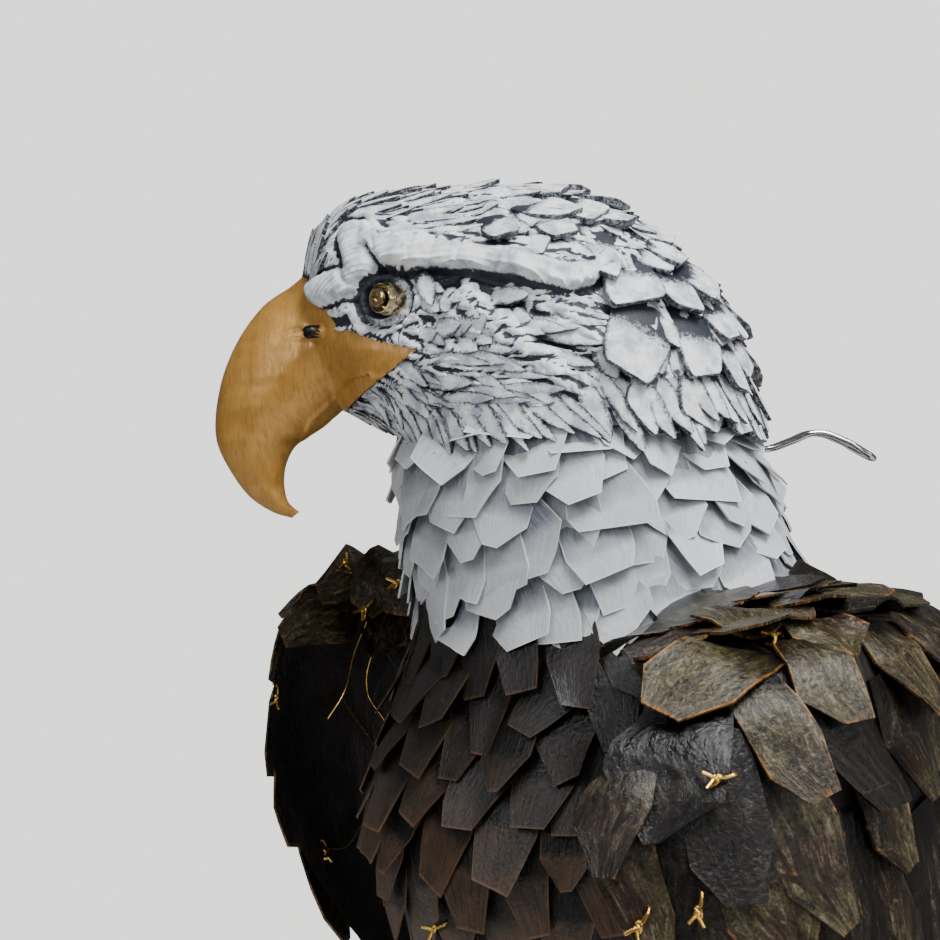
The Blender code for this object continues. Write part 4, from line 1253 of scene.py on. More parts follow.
def make_head():
    columns, rows = 410, 240
    # Columns stand about 0.7 mm apart where the head shows and 2 mm apart in the neck, and rows 1 mm along its top.
    fine = np.linspace(0, 1, 4001)
    ring = head_surface(fine, np.full(fine.shape, 0.45))
    hidden = near(fine[:-1] - 0.75, 0.09)
    steps = np.linalg.norm(np.diff(ring, axis=0), axis=1) * (1 - 0.66 * hidden)
    round_it = np.concatenate([[0], np.cumsum(steps + 4e-6)])
    top = head_surface(np.full(fine.shape, 0.18), fine)
    along_it = np.concatenate([[0], np.cumsum(np.linalg.norm(np.diff(top, axis=0), axis=1))])

    def even(u, v):
        return np.interp(u, round_it / round_it[-1], fine), np.interp(v, along_it / along_it[-1], fine)

    u, v = np.meshgrid(np.arange(columns) / columns, np.linspace(0, 1, rows + 1))
    u, v = even(u, v)
    f, side, z = head_form(u, v)
    base, slope_u, slope_v = tangents(head_surface, u, v)
    out = unit(np.cross(slope_v, slope_u))
    form, smooth = head_features(f, side, z)
    formed = base + out * (form * MM)[..., None]
    strokes = strokes_on_head(formed, out, f, side, z, smooth, slope_v)
    strokes = 0.35 * strokes + 0.65 * blurred(strokes, 1)
    rough = 0.35 * wavy(f + side * 0.7, z, 3.1, 1.0) + 0.2 * wavy(f, z + side, 1.6, 2.0)
    height = form + strokes * step_up(v, 0.0, 0.03) + rough * (1 - 0.9 * smooth)
    cavity = height - blurred(height, 7)
    # Painted light: the crown is made whiter, as if lit from above.
    relief_and_painted_shading = np.clip(0.5 + 0.17 * step_up(z, 602, 618) + 0.8 * cavity + 0.03 * strokes, 0, 1)
    # Painted shadow under the brow's overhang, weak behind the eye and strong towards it.
    deep = step_up(-(form - blurred(form, 9)), 0.9, 2.2) * np.interp(f, [0, 36, 60], [0.05, 0.2, 0.9])
    relief_and_painted_shading = relief_and_painted_shading * (1 - 0.9 * deep)
    relief_and_painted_shading = np.maximum(relief_and_painted_shading, 0.62 * smooth * (1 - deep))
    eye = np.hypot(f - EYE_PLACE[0], z - EYE_PLACE[1])
    # The washer round the eye is grey-blue, with painted shade, all but black, above it and towards the beak, where
    # the brow overhangs it; the hole that the fitting sits in gets painted shadow.
    hole = np.hypot(f - EYE_PLACE[0] - 1.4, z - EYE_PLACE[1])
    washer = 0.5 - 0.34 * step_up(f - EYE_PLACE[0] + 0.9 * (z - EYE_PLACE[1]), -1, 7)
    relief_and_painted_shading = np.where(eye < 10.9, washer * step_up(hole, 7.3, 8.0), relief_and_painted_shading)
    # Painted shade between the slabs behind the brow: the clay there is darkened.
    relief_and_painted_shading = relief_and_painted_shading - 0.08 * step_up(-f, -14, 8) * step_up(z, 540, 552) * (1 - smooth)
    tuck = step_up(beak_side(f, z) + 0.8 * wavy(f, z, 2.2, 4.0), 0.2, 2.4)
    rim = near(beak_side(f, z) + 1.2, 1.4)
    height = height + 0.7 * rim
    placed = base + out * (height * MM)[..., None]
    # Inside the feathers' edge the clay dives under the beak.
    middle = head_place(f - 6 * tuck, side * (1 - 0.42 * tuck), z)
    placed = placed * (1 - tuck[..., None]) + middle * tuck[..., None]
    # Painted shade where the clay runs in under the beak.
    relief_and_painted_shading = relief_and_painted_shading * (1 - 0.8 * step_up(tuck, 0.15, 0.6))

    piece, grid_u, grid_v = wrapped("head_clay", lambda a, b: np.zeros((len(a), 3)), columns, rows)
    at = grid_places(grid_u, grid_v, columns, rows)
    piece.data.vertices.foreach_set("co", placed[at].astype(np.float32).ravel())
    alone(piece)
    outward()
    piece.data.shade_smooth()
    set_relief(piece, relief_and_painted_shading[at])
    dress(piece, "clay", "white_carving", "head")


def head_spot(forward, height, side):
    """The u and v of the head's surface at a place of its profile."""
    u, v = np.meshgrid(np.linspace(-0.25, 0.25, 161), np.linspace(0, 1, 161))
    if side < 0:
        u = 0.5 - u
    f, _, z = head_form(u, v)
    best = np.argmin(np.hypot(f - forward, z - height))
    return u.ravel()[best], v.ravel()[best]


# The slabs that the photo shows behind the brow and the ear: forward, height, width, length, turn in degrees.
SLABS = [
    (34, 612, 12, 17, -35), (13, 613, 14, 20, -25), (23, 606, 10, 16, -60), (-6, 603, 14, 28, 12),
    (-16, 592, 23, 26, 8), (-33, 590, 17, 25, 2), (-42, 592, 13, 20, -8), (-49, 578, 15, 20, -12),
    (-18, 570, 26, 34, 30), (-41, 568, 21, 27, 6), (-53, 563, 15, 26, 0), (-42, 549, 23, 26, 22),
    (-22, 549, 20, 24, 38), (-56, 546, 17, 24, 4), (4, 622, 15, 22, -40), (-28, 606, 16, 22, -18),
    (-8, 618, 14, 20, -30),
]


def make_slabs():
    """Thick cut clay plates over the crown's rear and the nape, with softened edges, and painted shade at each
    one's root and sides.
    """
    chance = random.Random(24)
    pieces = []
    for side in (1, -1):
        for forward, height, width, length, turn in SLABS:
            u, v = head_spot(forward, height, side)
            _, slope_u, slope_v = tangents(head_surface, np.float64(u), np.float64(v))
            # The turn is from straight down, so the plate's own way down the surface is measured first.
            way = unit(slope_v)
            aside = unit(slope_u - way * (slope_u @ way))
            fall = math.atan2(-(np.array((0, 0, -1.0)) @ aside), np.array((0, 0, -1.0)) @ way)
            lean = math.radians(turn + chance.uniform(-5, 5)) * side
            pieces.append(scatter(
                head_surface, SLAB, (u, v), (width, length), fall + lean, (0.4, chance.uniform(5.2, 7.6)),
                chance.uniform(0.6, 1.0), bends(chance, 0.6), chance.random(),
            ))
    # The crown's middle and the nape between the two sides.
    for k in range(7):
        for i in range(5):
            v = 0.5 + 0.075 * k
            u = 0.25 + (i - 2 + 0.5 * (k % 2) - 0.25) * (0.048 - 0.003 * k)
            pieces.append(scatter(
                head_surface, SLAB, (u, v + chance.uniform(-0.02, 0.02)),
                (chance.uniform(13, 19), chance.uniform(20, 27)), math.radians(chance.uniform(-22, 22)),
                (0.4, chance.uniform(4.0, 6.0)), chance.uniform(0.4, 0.9), bends(chance, 0.6), chance.random(),
            ))
    piece = joined("head_slabs", pieces)
    soften = piece.modifiers.new("soft_edges", "BEVEL")
    soften.width = 0.0005
    soften.segments = 2
    soften.limit_method = "ANGLE"
    soften.angle_limit = math.radians(45)
    apply_all(piece)
    set_relief(piece, np.full(len(piece.data.vertices), 0.66))
    dress(piece, "slab", "white_carving")


def make_cheek_tips():
    """The long strokes that end in points over the neck, along the jaw and the nape."""
    chance = random.Random(25)
    pieces = []
    for k in range(74):
        u = -0.21 + 0.42 * (k % 37) / 36 + chance.uniform(-0.004, 0.004)
        if k >= 37:
            u = 0.5 - u
        f, _, _ = head_form(np.float64(u), np.float64(0.96))
        _, slope_u, slope_v = tangents(head_surface, np.float64(u), np.float64(0.93))
        way = unit(slope_v)
        aside = unit(slope_u - way * (slope_u @ way))
        lean = 0.5 if f < 0 else 1.15
        goal = unit(np.array((0, 0, -1.0)) - lean * FORWARD)
        turn = math.atan2(-(goal @ aside), goal @ way)
        pieces.append(scatter(
            head_surface, STROKE, (u, 0.95 + chance.uniform(-0.03, 0.02)),
            (chance.uniform(5, 9), chance.uniform(22, 34)), turn + math.radians(chance.uniform(-7, 7)),
            (0.6, chance.uniform(5.6, 8.2)), 0.15, bends(chance, 0.3), chance.random(),
        ))
    dress(joined("cheek_strokes", pieces), "clay", "white_carving")


def make_shards():
    """Separate strokes of clay over the crown and cheeks, standing clear at their tips."""
    chance = np.random.default_rng(27)
    pieces = []
    while len(pieces) < 520:
        u, v = chance.uniform(-0.25, 0.75), chance.uniform(0.03, 0.92)
        f, side, z = (float(n) for n in head_form(np.float64(u), np.float64(v)))
        edge_z = np.interp(f, [p[0] for p in BROW_EDGE[::-1]], [p[1] for p in BROW_EDGE[::-1]])
        on_band = abs(side) > 20 and -8 < f < 110 and -7 < z - edge_z < 15
        near_eye = math.hypot(f - EYE_PLACE[0], z - EYE_PLACE[1]) < 17
        if z < 541 or on_band or near_eye or beak_side(np.float64(f), np.float64(z)) > -3:
            continue
        length, width, rise, wild, sag = stroke_kind(f, side, z, chance)
        _, slope_u, slope_v = tangents(head_surface, np.float64(u), np.float64(v))
        way = unit(slope_v)
        aside = unit(slope_u - way * (slope_u @ way))
        goal = slope_v if sag is None else np.array((0, 0, -sag)) - FORWARD
        turn = math.atan2(-(goal @ aside), goal @ way) + math.radians(chance.normal(0, wild))
        size = (width * chance.uniform(0.8, 1.2), length * chance.uniform(0.7, 1.0))
        pieces.append(scatter(
            head_surface, STROKE, (u, v), size, turn, (0.4, rise * chance.uniform(1.1, 1.6)), 0.2,
            bends(random.Random(len(pieces)), 0.35), 0.5,
        ))
    dress(joined("head_strokes", pieces), "clay", "white_carving")


# Eyes.

# A cup with a ringed stub in its middle: radius and height from its seat, in millimetres.
EYE_PROFILE = [
    (0.0, -7.0), (6.3, -7.0), (6.3, -1.6), (6.1, -1.4), (6.1, -1.2), (5.7, 1.5), (5.5, 1.7), (5.2, 1.6),
    (4.4, -2.6), (3.0, -2.8), (3.0, 1.6), (3.7, 1.8), (3.7, 2.3), (3.1, 2.5), (3.1, 3.1), (3.5, 3.2), (3.5, 3.7),
    (2.9, 4.0), (1.9, 4.0), (1.7, 2.6), (0.0, 2.4),
]
EYE_TURN = math.radians(44)


def make_eye(side, name):
    """A turned brass fitting: a profile spun round the way that the eye looks."""
    low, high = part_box(name)
    rows = [Vector((radius * MM, 0, height * MM)) for radius, height in EYE_PROFILE]
    mesh = bpy.data.meshes.new(name)
    mesh.from_pydata(rows, [(n, n + 1) for n in range(len(rows) - 1)], [])
    piece = bpy.data.objects.new(name + "_fitting", mesh)
    bpy.context.scene.collection.objects.link(piece)
    alone(piece)
    bpy.ops.object.mode_set(mode="EDIT")
    bpy.ops.mesh.select_all(action="SELECT")
    bpy.ops.mesh.spin(steps=48, angle=2 * math.pi, center=(0, 0, 0), axis=(0, 0, 1))
    bpy.ops.mesh.select_all(action="SELECT")
    bpy.ops.mesh.remove_doubles(threshold=2e-5)
    bpy.ops.object.mode_set(mode="OBJECT")
    outward(30)
    look = math.sin(EYE_TURN) * FORWARD + side * math.cos(EYE_TURN) * ASIDE + np.array((0, 0, 0.03))
    look = Vector(look).normalized()
    # The solid's far end is 7 mm behind the fitting's face and its front 3.4 mm before it.
    centre = (low + high) / 2 + look * 0.0018
    turned = look.to_track_quat("Z", "Y").to_matrix().to_4x4()
    turned.translation = centre
    piece.data.transform(turned)
    dress(piece, "brass", "turned_brass", name)


# Beak.

MOUTH_LINE = [(83.5, 558), (89.5, 557), (95, 553), (101.5, 547), (108, 541), (112, 534), (114.5, 527), (116, 520)]
NOSTRIL = (105.4, 575.4)
NOSTRIL_GROOVES = [[(105, 576), (112, 577.5), (119, 575.5), (123, 574)], [(106, 573.6), (113, 573), (120, 573.4)]]


def make_beak():
    columns, rows = 200, 250
    u, v = np.meshgrid(np.arange(columns) / columns, np.linspace(0, 1, rows + 1))
    f, side, z = beak_form(u, v)

    def surface(a, b):
        return head_place(*beak_form(a, b))

    base = surface(u, v)
    _, slope_u, slope_v = tangents(surface, u, np.clip(v, 0.004, 0.996))
    out = unit(np.cross(slope_v, slope_u))
    facing = np.clip(np.abs(side) / 3.5, 0, 1)
    mouth, share = line_distance(f, z, MOUTH_LINE)
    dent = -1.1 * near(mouth, 0.9) * (1 - 0.6 * share)
    below = step_up(
        -(z - np.interp(f, [p[0] for p in MOUTH_LINE], [p[1] for p in MOUTH_LINE])), 0.0, 2.0,
    ) * (f < 116)
    dent = dent - 1.0 * below * (1 - share)
    hole = np.hypot(f - NOSTRIL[0], z - NOSTRIL[1])
    dent = dent - 5.2 * step_up(-hole, -3.2, -2.2)
    rim = 0.6 * near(hole - 4.2, 1.1)
    for line in NOSTRIL_GROOVES:
        away, place = line_distance(f, z, line)
        dent = dent - 0.9 * near(away, 0.75) * (1 - place)
    dent = dent + rim + 0.35 * wavy(f, z, 9.0, 0.4) + 0.16 * wavy(f, z, 4.0, 1.4)
    height = dent * facing
    placed = base + out * (height * MM)[..., None]
    relief_and_painted_shading = np.clip(0.5 + 0.9 * (height - blurred(height, 4)), 0, 1)
    # Painted shadow inside the nostril hole.
    relief_and_painted_shading = np.where(hole < 3.1, 0.0, relief_and_painted_shading)
    piece, grid_u, grid_v = wrapped("beak_casting", surface, columns, rows)
    at = grid_places(grid_u, grid_v, columns, rows)
    piece.data.vertices.foreach_set("co", placed[at].astype(np.float32).ravel())
    set_relief(piece, relief_and_painted_shading[at])
    # The root ends just behind the feathers' edge, under the clay.
    outline = [(64.5, 567), (96, 578), (111, 600), (150, 660), (230, 660), (230, 470), (95, 470), (94, 545)]
    bpy.ops.mesh.primitive_circle_add(vertices=len(outline), radius=1, fill_type="NGON")
    block = bpy.context.object
    for point, (forward, height) in zip(block.data.vertices, outline):
        point.co = head_place(forward, -100.0, height)
    bpy.ops.object.mode_set(mode="EDIT")
    bpy.ops.mesh.select_all(action="SELECT")
    bpy.ops.mesh.extrude_region_move(TRANSFORM_OT_translate={"value": Vector(ASIDE) * 0.2})
    bpy.ops.object.mode_set(mode="OBJECT")
    outward()
    trim = piece.modifiers.new("trim", "BOOLEAN")
    trim.operation = "INTERSECT"
    trim.solver = "MANIFOLD"
    trim.object = block
    apply_all(piece)
    bpy.data.objects.remove(block)
    bpy.ops.object.shade_smooth_by_angle(angle=math.radians(50))
    dress(piece, "ochre", "ochre_paint", "beak")


# Wings.

# The plates that the photo shows on the wings: the middle's pixel, width and length in millimetres, turn, tone, how
# far each is tipped towards the lens, and the height of its waves. First the left wing's outer side.
NEAR_PLATES = [
    (711, 674, 34, 50, -33, 0.95, 0.45, 0.4), (736, 631, 31, 36, 4, 0.8, 0.25, 2.4),
    (816, 637, 29, 38, 12, 0.78, 0.3, 2.0), (812, 672, 28, 42, 20, 0.84, 0.45, 0.6),
    (771, 728, 24, 52, 25, 0.78, 0.4, 0.5), (887, 664, 27, 46, 19, 0.6, 0.3, 0.8),
    (669, 768, 41, 50, -10, 0.05, 0.45, 0.8), (799, 835, 33, 66, 24, 0.42, 0.12, 0.7),
    (871, 792, 31, 56, 28, 0.38, 0.1, 0.9), (899, 735, 36, 48, 25, 0.3, 0.08, 0.8),
    (758, 893, 29, 70, 26, 0.4, 0.12, 0.7), (887, 906, 40, 66, 20, 0.36, 0.06, 0.9),
    (941, 836, 32, 60, 22, 0.34, 0.0, 0.8), (626, 862, 23, 54, 12, 0.52, 0.4, 0.6),
    (600, 900, 27, 44, -16, 0.5, 0.4, 0.6), (664, 872, 26, 54, 8, 0.04, 0.3, 0.8),
    (925, 652, 30, 46, 22, 0.46, 0.25, 1.0), (826, 616, 32, 38, 10, 0.2, 0.1, 2.8),
    (862, 604, 32, 38, 16, 0.3, 0.1, 3.0), (898, 604, 32, 40, 18, 0.25, 0.1, 3.0),
    (934, 622, 32, 42, 20, 0.4, 0.15, 2.4), (775, 612, 30, 34, 6, 0.15, 0.1, 2.6),
    (700, 920, 30, 60, 16, 0.28, 0.2, 0.7), (640, 930, 26, 50, 6, 0.3, 0.3, 0.7),
    (722, 818, 30, 54, 6, 0.12, 0.1, 0.7), (836, 742, 30, 48, 22, 0.16, 0.15, 0.8),
    (826, 890, 32, 60, 22, 0.22, 0.08, 0.8), (620, 806, 26, 48, -4, 0.3, 0.25, 0.7),
    (636, 700, 26, 44, -30, 0.18, 0.2, 0.9), (676, 650, 30, 36, -28, 0.3, 0.15, 1.8),
    (936, 760, 30, 54, 24, 0.45, 0.0, 0.8), (940, 700, 30, 48, 24, 0.5, 0.0, 0.8),
]
# They fill this part of the picture, in pixels from its middle.
SEEN_RIGHT, SEEN_LOW, SEEN_HIGH = 460, -430, -100
# Then those of the right wing, which lap over its front edge and show on its inner side.
FAR_PLATES = [
    (412, 580, 28, 48, -8, 0.6, 0.7, 0.8), (355, 566, 26, 40, -58, 0.62, 0.6, 1.2),
    (386, 614, 26, 42, -22, 0.55, 0.8, 0.8), (334, 608, 32, 56, -74, 0.66, 0.8, 0.6),
    (396, 576, 28, 50, -34, 0.62, 0.75, 1.0), (420, 622, 26, 44, 2, 0.55, 0.7, 0.8),
]


def make_wing(name, drawn, back, rise, mirror, seed):
    outer = wing_surface(drawn, back, rise, mirror)
    chance = random.Random(seed)

    def core(u, v):
        """The wing's closed section: its outer face, then its inner face back, thin at both edges."""
        across = np.where(u <= 0.5, 2 * u, 2 * (1 - u))
        spot, slope_u, slope_v = tangents(outer, across, np.clip(v, 0.001, 0.999))
        out = unit(np.cross(slope_v, slope_u)) * (-1 if mirror else 1)
        rim = np.sqrt(np.clip(4 * across * (1 - across), 0, 1))
        root = 26 * near(across - 0.86, 0.24) * near(v - 0.24, 0.17)
        thick = (1.2 + 6.5 * rim + root) * MM
        folds = 1.2 * np.sin(across * 17 + v * 9) * np.sin(v * 23 + across * 5) * rim * MM
        return spot - out * np.where(u <= 0.5, 0.0006, thick + folds)[..., None]

    shell, _, _ = wrapped(name + "_lining", core, 72, 72)
    dress(shell, "lining", "olive_hide")
    pieces = []

    def place(template, u, v, width, length, turn, lift, tone, stiff):
        lean = math.radians(turn) * (-1 if mirror else 1)
        # The mirrored face runs the other way round.
        face = (lambda a, b: outer(-a, b)) if mirror else outer
        shape = bends(chance, 1.2, 0.8)
        positions = laid(
            face, (-u if mirror else u, v), (width, length), lean, lift, stiff, shape, POINTS[template.name],
        )
        pieces.append(add_copy(template, positions, tone))

    carrier = tree_of([shell])
    seen = FAR_PLATES if mirror else NEAR_PLATES

    def taken(u, v):
        """Whether the photo shows this place face on, so that its own plates lie here."""
        spot, slope_u, slope_v = tangents(outer, np.float64(u), np.float64(v))
        away = Vector(spot) - EYE
        across, up = away.dot(RIGHTWARD) / away.dot(LOOK), away.z / away.dot(LOOK)
        facing = -Vector(unit(np.cross(slope_v, slope_u))).dot(away.normalized())
        if mirror or u > 0.9 or facing < 0.3:
            return False
        return across * PIXELS < SEEN_RIGHT and SEEN_LOW < up * PIXELS < SEEN_HIGH

    # Small plates on the shoulder, coverts below them, then longer and longer feathers to the tip.
    rows = [
        (0.03, 9, 32, 34, "plate"), (0.085, 9, 34, 42, "covert"), (0.15, 9, 35, 52, "covert"),
        (0.225, 9, 36, 60, "covert"), (0.305, 9, 36, 66, "covert"), (0.39, 9, 36, 74, "covert"),
        (0.48, 9, 36, 84, "quill"), (0.575, 9, 35, 94, "quill"), (0.67, 8, 34, 100, "quill"),
        (0.765, 7, 31, 100, "quill"), (0.85, 6, 25, 92, "quill"), (0.925, 4, 20, 80, "quill"),
    ]
    for k, (v, count, width, length, kind) in enumerate(rows):
        for i in range(count):
            # Plates stand evenly round the wing, whose surface is drawn out towards its rear edge.
            share = (i + 0.25 + 0.5 * (k % 2)) / count + chance.uniform(-0.02, 0.02)
            u = min((math.sqrt(0.01 + 0.1664 * max(share, 0.06)) - 0.1) / 0.32, 0.93)
            spot = v + chance.uniform(-0.014, 0.014)
            if taken(u, spot):
                continue
            template = {"plate": PLATES[chance.choice(["hexagon", "slanted", "square"])], "quill": QUILL}.get(kind)
            template = template or COVERTS_CUT[chance.randrange(len(COVERTS_CUT))]
            size = (width * chance.uniform(0.86, 1.12), length * chance.uniform(0.92, 1.1))
            turn = 22 - 46 * u + chance.uniform(-12, 12)
            tip = chance.uniform(6.0, 9.5) if v < 0.26 else chance.uniform(4.5, 8.0)
            place(
                template, u, spot, *size, turn, (0.2, tip), 0.1 + 0.68 * chance.random(), 0.6 if v < 0.26 else 0.3,
            )
    for n, (px, py, width, length, turn, tone, facing, waves) in enumerate(seen):
        # Where the wing is widest its plates lie closer.
        close = px > 850 or py > 790
        shape = bends(chance, 0.7 if close else 1.3, 0.0)
        shape = (shape[0] + 0.8, *shape[1:5], waves, shape[6])
        lift = (0.4, chance.uniform(5.6, 7.4) - (2.2 if close else 0.0))
        template = COVERTS_CUT[(0, 2, 1, 3)[n % 4]]
        pieces.append(faced(carrier, template, (px, py), (width, length), turn, lift, facing, shape, tone))
    piece = joined(name + "_plates", pieces)
    dress(piece, "olive", "olive_hide", name)
    return [piece, shell]


# Tail and thighs.

def make_tail():
    chance = random.Random(31)
    pieces = []

    def core(u, v):
        across = np.where(u <= 0.5, 2 * u, 2 * (1 - u))
        rim = np.sqrt(np.clip(4 * across * (1 - across), 0, 1))
        place = tail_surface(across, v * 0.9)
        place[..., 1] -= np.where(u <= 0.5, 0.0, (1.5 + 8.5 * rim) * MM)
        return place

    shell, _, _ = wrapped("tail_core", core, 56, 40)
    dress(shell, "lining", "dark_hide")
    for row, (v, count, length) in enumerate(((0.76, 8, 88), (0.5, 7, 70), (0.26, 6, 56), (0.08, 5, 44))):
        for i in range(count):
            u = (i + 0.5) / count
            pieces.append(scatter(
                tail_surface, QUILL, (u, v), (100 / count + 9, length + chance.uniform(-5, 5)),
                math.radians((u - 0.5) * -16), (0.4 + row, 4.0 + row + 2.5 * (i % 2)), 0.5, bends(chance, 0.9, 1.5),
                chance.random(),
            ))
    dress(joined("tail_plates", pieces), "dark", "dark_hide", "tail")


def make_thigh(side, name):
    surface = thigh_surface(side)
    chance = random.Random(32 + side)
    core, _, _ = wrapped(name + "_core", surface, 40, 30)
    dress(core, "lining", "dark_hide")
    pieces = []
    for k in range(11):
        v = 0.2 + 0.074 * k
        radius = float(along(THIGH, v)[3])
        count = max(7, round(2 * math.pi * radius / 17))
        for i in range(count):
            u = (i + 0.5 * (k % 2)) / count
            size = (chance.uniform(17, 22), chance.uniform(24, 30))
            shape = bends(chance, 0.5)
            template = PLATES[chance.choice(["tapered", "tapered", "hexagon"])]
            where = (lambda a, b: surface(-a, b)) if side < 0 else surface
            positions = laid(
                where, (u, v), size, math.radians(chance.uniform(-9, 9)), (0.3, chance.uniform(3.0, 5.0)), 0.3,
                shape, POINTS[template.name],
            )
            pieces.append(add_copy(template, positions, chance.random()))
    dress(joined(name + "_plates", pieces), "dark", "dark_hide", name)


# Ties, loop, plinth and stage.

def wire(name, points, radius, cyclic=False):
    """A wire bent through points, made a mesh."""
    curve = bpy.data.curves.new(name, "CURVE")
    curve.dimensions = "3D"
    curve.bevel_depth = radius
    curve.bevel_resolution = 2
    curve.use_fill_caps = True
    curve.resolution_u = 6
    spline = curve.splines.new("BEZIER")
    spline.bezier_points.add(len(points) - 1)
    spline.use_cyclic_u = cyclic
    for knot, point in zip(spline.bezier_points, points):
        knot.co = point
        knot.handle_left_type = knot.handle_right_type = "AUTO"
    piece = bpy.data.objects.new(name, curve)
    bpy.context.scene.collection.objects.link(piece)
    alone(piece)
    bpy.ops.object.convert(target="MESH")
    return bpy.context.object


def make_tie():
    """One tie of brass wire: a small loop, two turns of twist and two cut ends. Millimetres, lying on x and y."""
    first = [
        (-5, 0, -1.5), (-4, 0.6, 0.8), (-1.6, 0.8, 1.5), (0, 0.5, 1.6), (1.0, -0.5, 1.8), (2.0, 0.5, 2.0),
        (3.0, -0.5, 2.3), (5.5, -2.4, 3.4),
    ]
    second = [
        (5, 1.4, -1.5), (2.8, 1.6, 0.9), (1.2, 0.9, 1.9), (0.4, -0.4, 1.2), (1.4, 0.5, 1.2), (2.4, -0.5, 1.5),
        (3.2, 0.6, 1.8), (6.0, 2.8, 2.6),
    ]
    return gathered([wire("tie", [Vector(p) * MM for p in line], 0.0007) for line in (first, second)])


def tree_of(pieces):
    """The pieces' faces, to find the one that a line meets first."""
    points, faces = [], []
    for piece in pieces:
        start = len(points)
        points += [vertex.co.copy() for vertex in piece.data.vertices]
        faces += [tuple(start + n for n in face.vertices) for face in piece.data.polygons]
    return BVHTree.FromPolygons(points, faces)


def seen_at(carrier, px, py):
    """Where the photograph's line of sight at a pixel meets the carrier, or passes nearest, and its normal there.
    """
    across, up = (px - PICTURE / 2) / PIXELS, (PICTURE / 2 - py) / PIXELS
    sight = (LOOK + RIGHTWARD * across + Vector((0, 0, up))).normalized()
    spot, normal, _, _ = carrier.ray_cast(EYE, sight)
    if spot is None:
        spot, normal, _, _ = carrier.find_nearest(EYE + sight * 0.85)
    return spot, normal if normal.dot(sight) < 0 else -normal


def set_tie(template, spot, normal, turn):
    """A copy of the tie, lying on the face that it holds."""
    down = Vector((0, 0, -1))
    way = (down - normal * normal.dot(down)).normalized()
    lie = Matrix((way.cross(normal), way, normal)).transposed().to_4x4()
    lie = Matrix.Translation(spot + normal * 0.0004) @ lie @ Matrix.Rotation(math.radians(turn), 4, "Z")
    piece = template.copy()
    piece.data = template.data.copy()
    bpy.context.scene.collection.objects.link(piece)
    piece.data.transform(lie)
    return piece


# The ties that the photo shows: pixel and turn. Then those out of its sight: side, back, height and turn.
TIES_SEEN = [
    (775, 640, 100), (722, 778, 20), (697, 905, 80), (640, 920, 60), (367, 608, 60), (345, 562, 90), (402, 583, 20),
    (268, 698, 80), (322, 850, 70), (440, 925, 30),
]
TIES_BEHIND = [
    (-1, -0.02, 0.47, 40), (-1, 0.06, 0.43, 100), (-1, 0.01, 0.36, 60), (1, 0.1, 0.43, 30), (1, 0.08, 0.34, 90),
]
# Bare wires between the ties on the far wing's inner side.
WIRES_SEEN = [
    [(367, 622), (352, 655), (343, 690), (326, 718)], [(342, 700), (362, 728), (383, 757)],
    [(322, 850), (345, 846), (362, 822), (388, 790)], [(400, 600), (378, 640), (366, 690), (384, 720)],
]


def make_ties(carriers, far_wing):
    tie = make_tie()
    carrier = tree_of(carriers)
    pieces = [set_tie(tie, *seen_at(carrier, px, py), turn) for px, py, turn in TIES_SEEN]
    for side, back, height, turn in TIES_BEHIND:
        spot, normal, _, _ = carrier.ray_cast(Vector((side, back, height)), Vector((-side, 0, 0)))
        pieces.append(set_tie(tie, spot, normal if normal.x * side > 0 else -normal, turn))
    bpy.data.objects.remove(tie)
    carrier = tree_of(far_wing)
    for line in WIRES_SEEN:
        met = [seen_at(carrier, *place) for place in line]
        pieces.append(wire("wire", [spot + normal * 0.0018 for spot, normal in met], 0.0003))
    piece = joined("brass_ties", pieces)
    piece.data.shade_smooth()
    dress(piece, "wire", "turned_brass")


LOOP = [(58, 529.5), (76, 529.5), (85, 532.5), (95, 536), (106, 533), (114, 528.5)]
LOOP_HALF = 5.7


def make_loop():
    left = [Vector(head_place(-back, LOOP_HALF, height)) for back, height in LOOP]
    right = [Vector(head_place(-back, -LOOP_HALF, height)) for back, height in LOOP]
    run = (left[-1] - left[-2]).normalized()
    across = (left[-1] - right[-1]).normalized()
    middle = (left[-1] + right[-1]) / 2
    bend = [middle + (across * math.cos(a) + run * math.sin(a)) * LOOP_HALF * MM for a in (0.7, 1.57, 2.44)]
    piece = wire("nape_wire", left + bend + right[::-1], 0.0013)
    piece.data.shade_smooth()
    dress(piece, "steel", "polished_steel", "nape_loop")


def make_plinth():
    """A disc turned with a rounded top edge, a bead line and a shadow gap at its foot."""
    bpy.ops.mesh.primitive_cylinder_add(
        vertices=128, radius=PLINTH_RADIUS * MM - 0.0002, depth=PLINTH_HEIGHT * MM,
        location=(0, 0, PLINTH_HEIGHT * MM / 2),
    )
    piece = bpy.context.object
    piece.name = "plinth_disc"
    bpy.ops.object.transform_apply(location=True)
    top = PLINTH_HEIGHT * MM
    bpy.ops.object.mode_set(mode="EDIT")
    for level in (0.004, 0.0055, 0.034, 0.0352):
        bpy.ops.mesh.select_all(action="SELECT")
        bpy.ops.mesh.bisect(plane_co=(0, 0, level), plane_no=(0, 0, 1))
    for level in (0.0055, 0.0352):
        pick(lambda co: abs(co.z - level) < 1e-5)
        bpy.ops.transform.resize(value=(0.992, 0.992, 1), center_override=(0, 0, level))
    pick(lambda co: co.z > top - 1e-5)
    bpy.ops.transform.resize(value=(0.985, 0.985, 1), center_override=(0, 0, top))
    bpy.ops.mesh.bevel(offset=0.0022, segments=4, affect="EDGES")
    bpy.ops.object.mode_set(mode="OBJECT")
    bpy.ops.object.shade_smooth_by_angle(angle=math.radians(32))
    dress(piece, "wood", "stained_wood", "plinth")


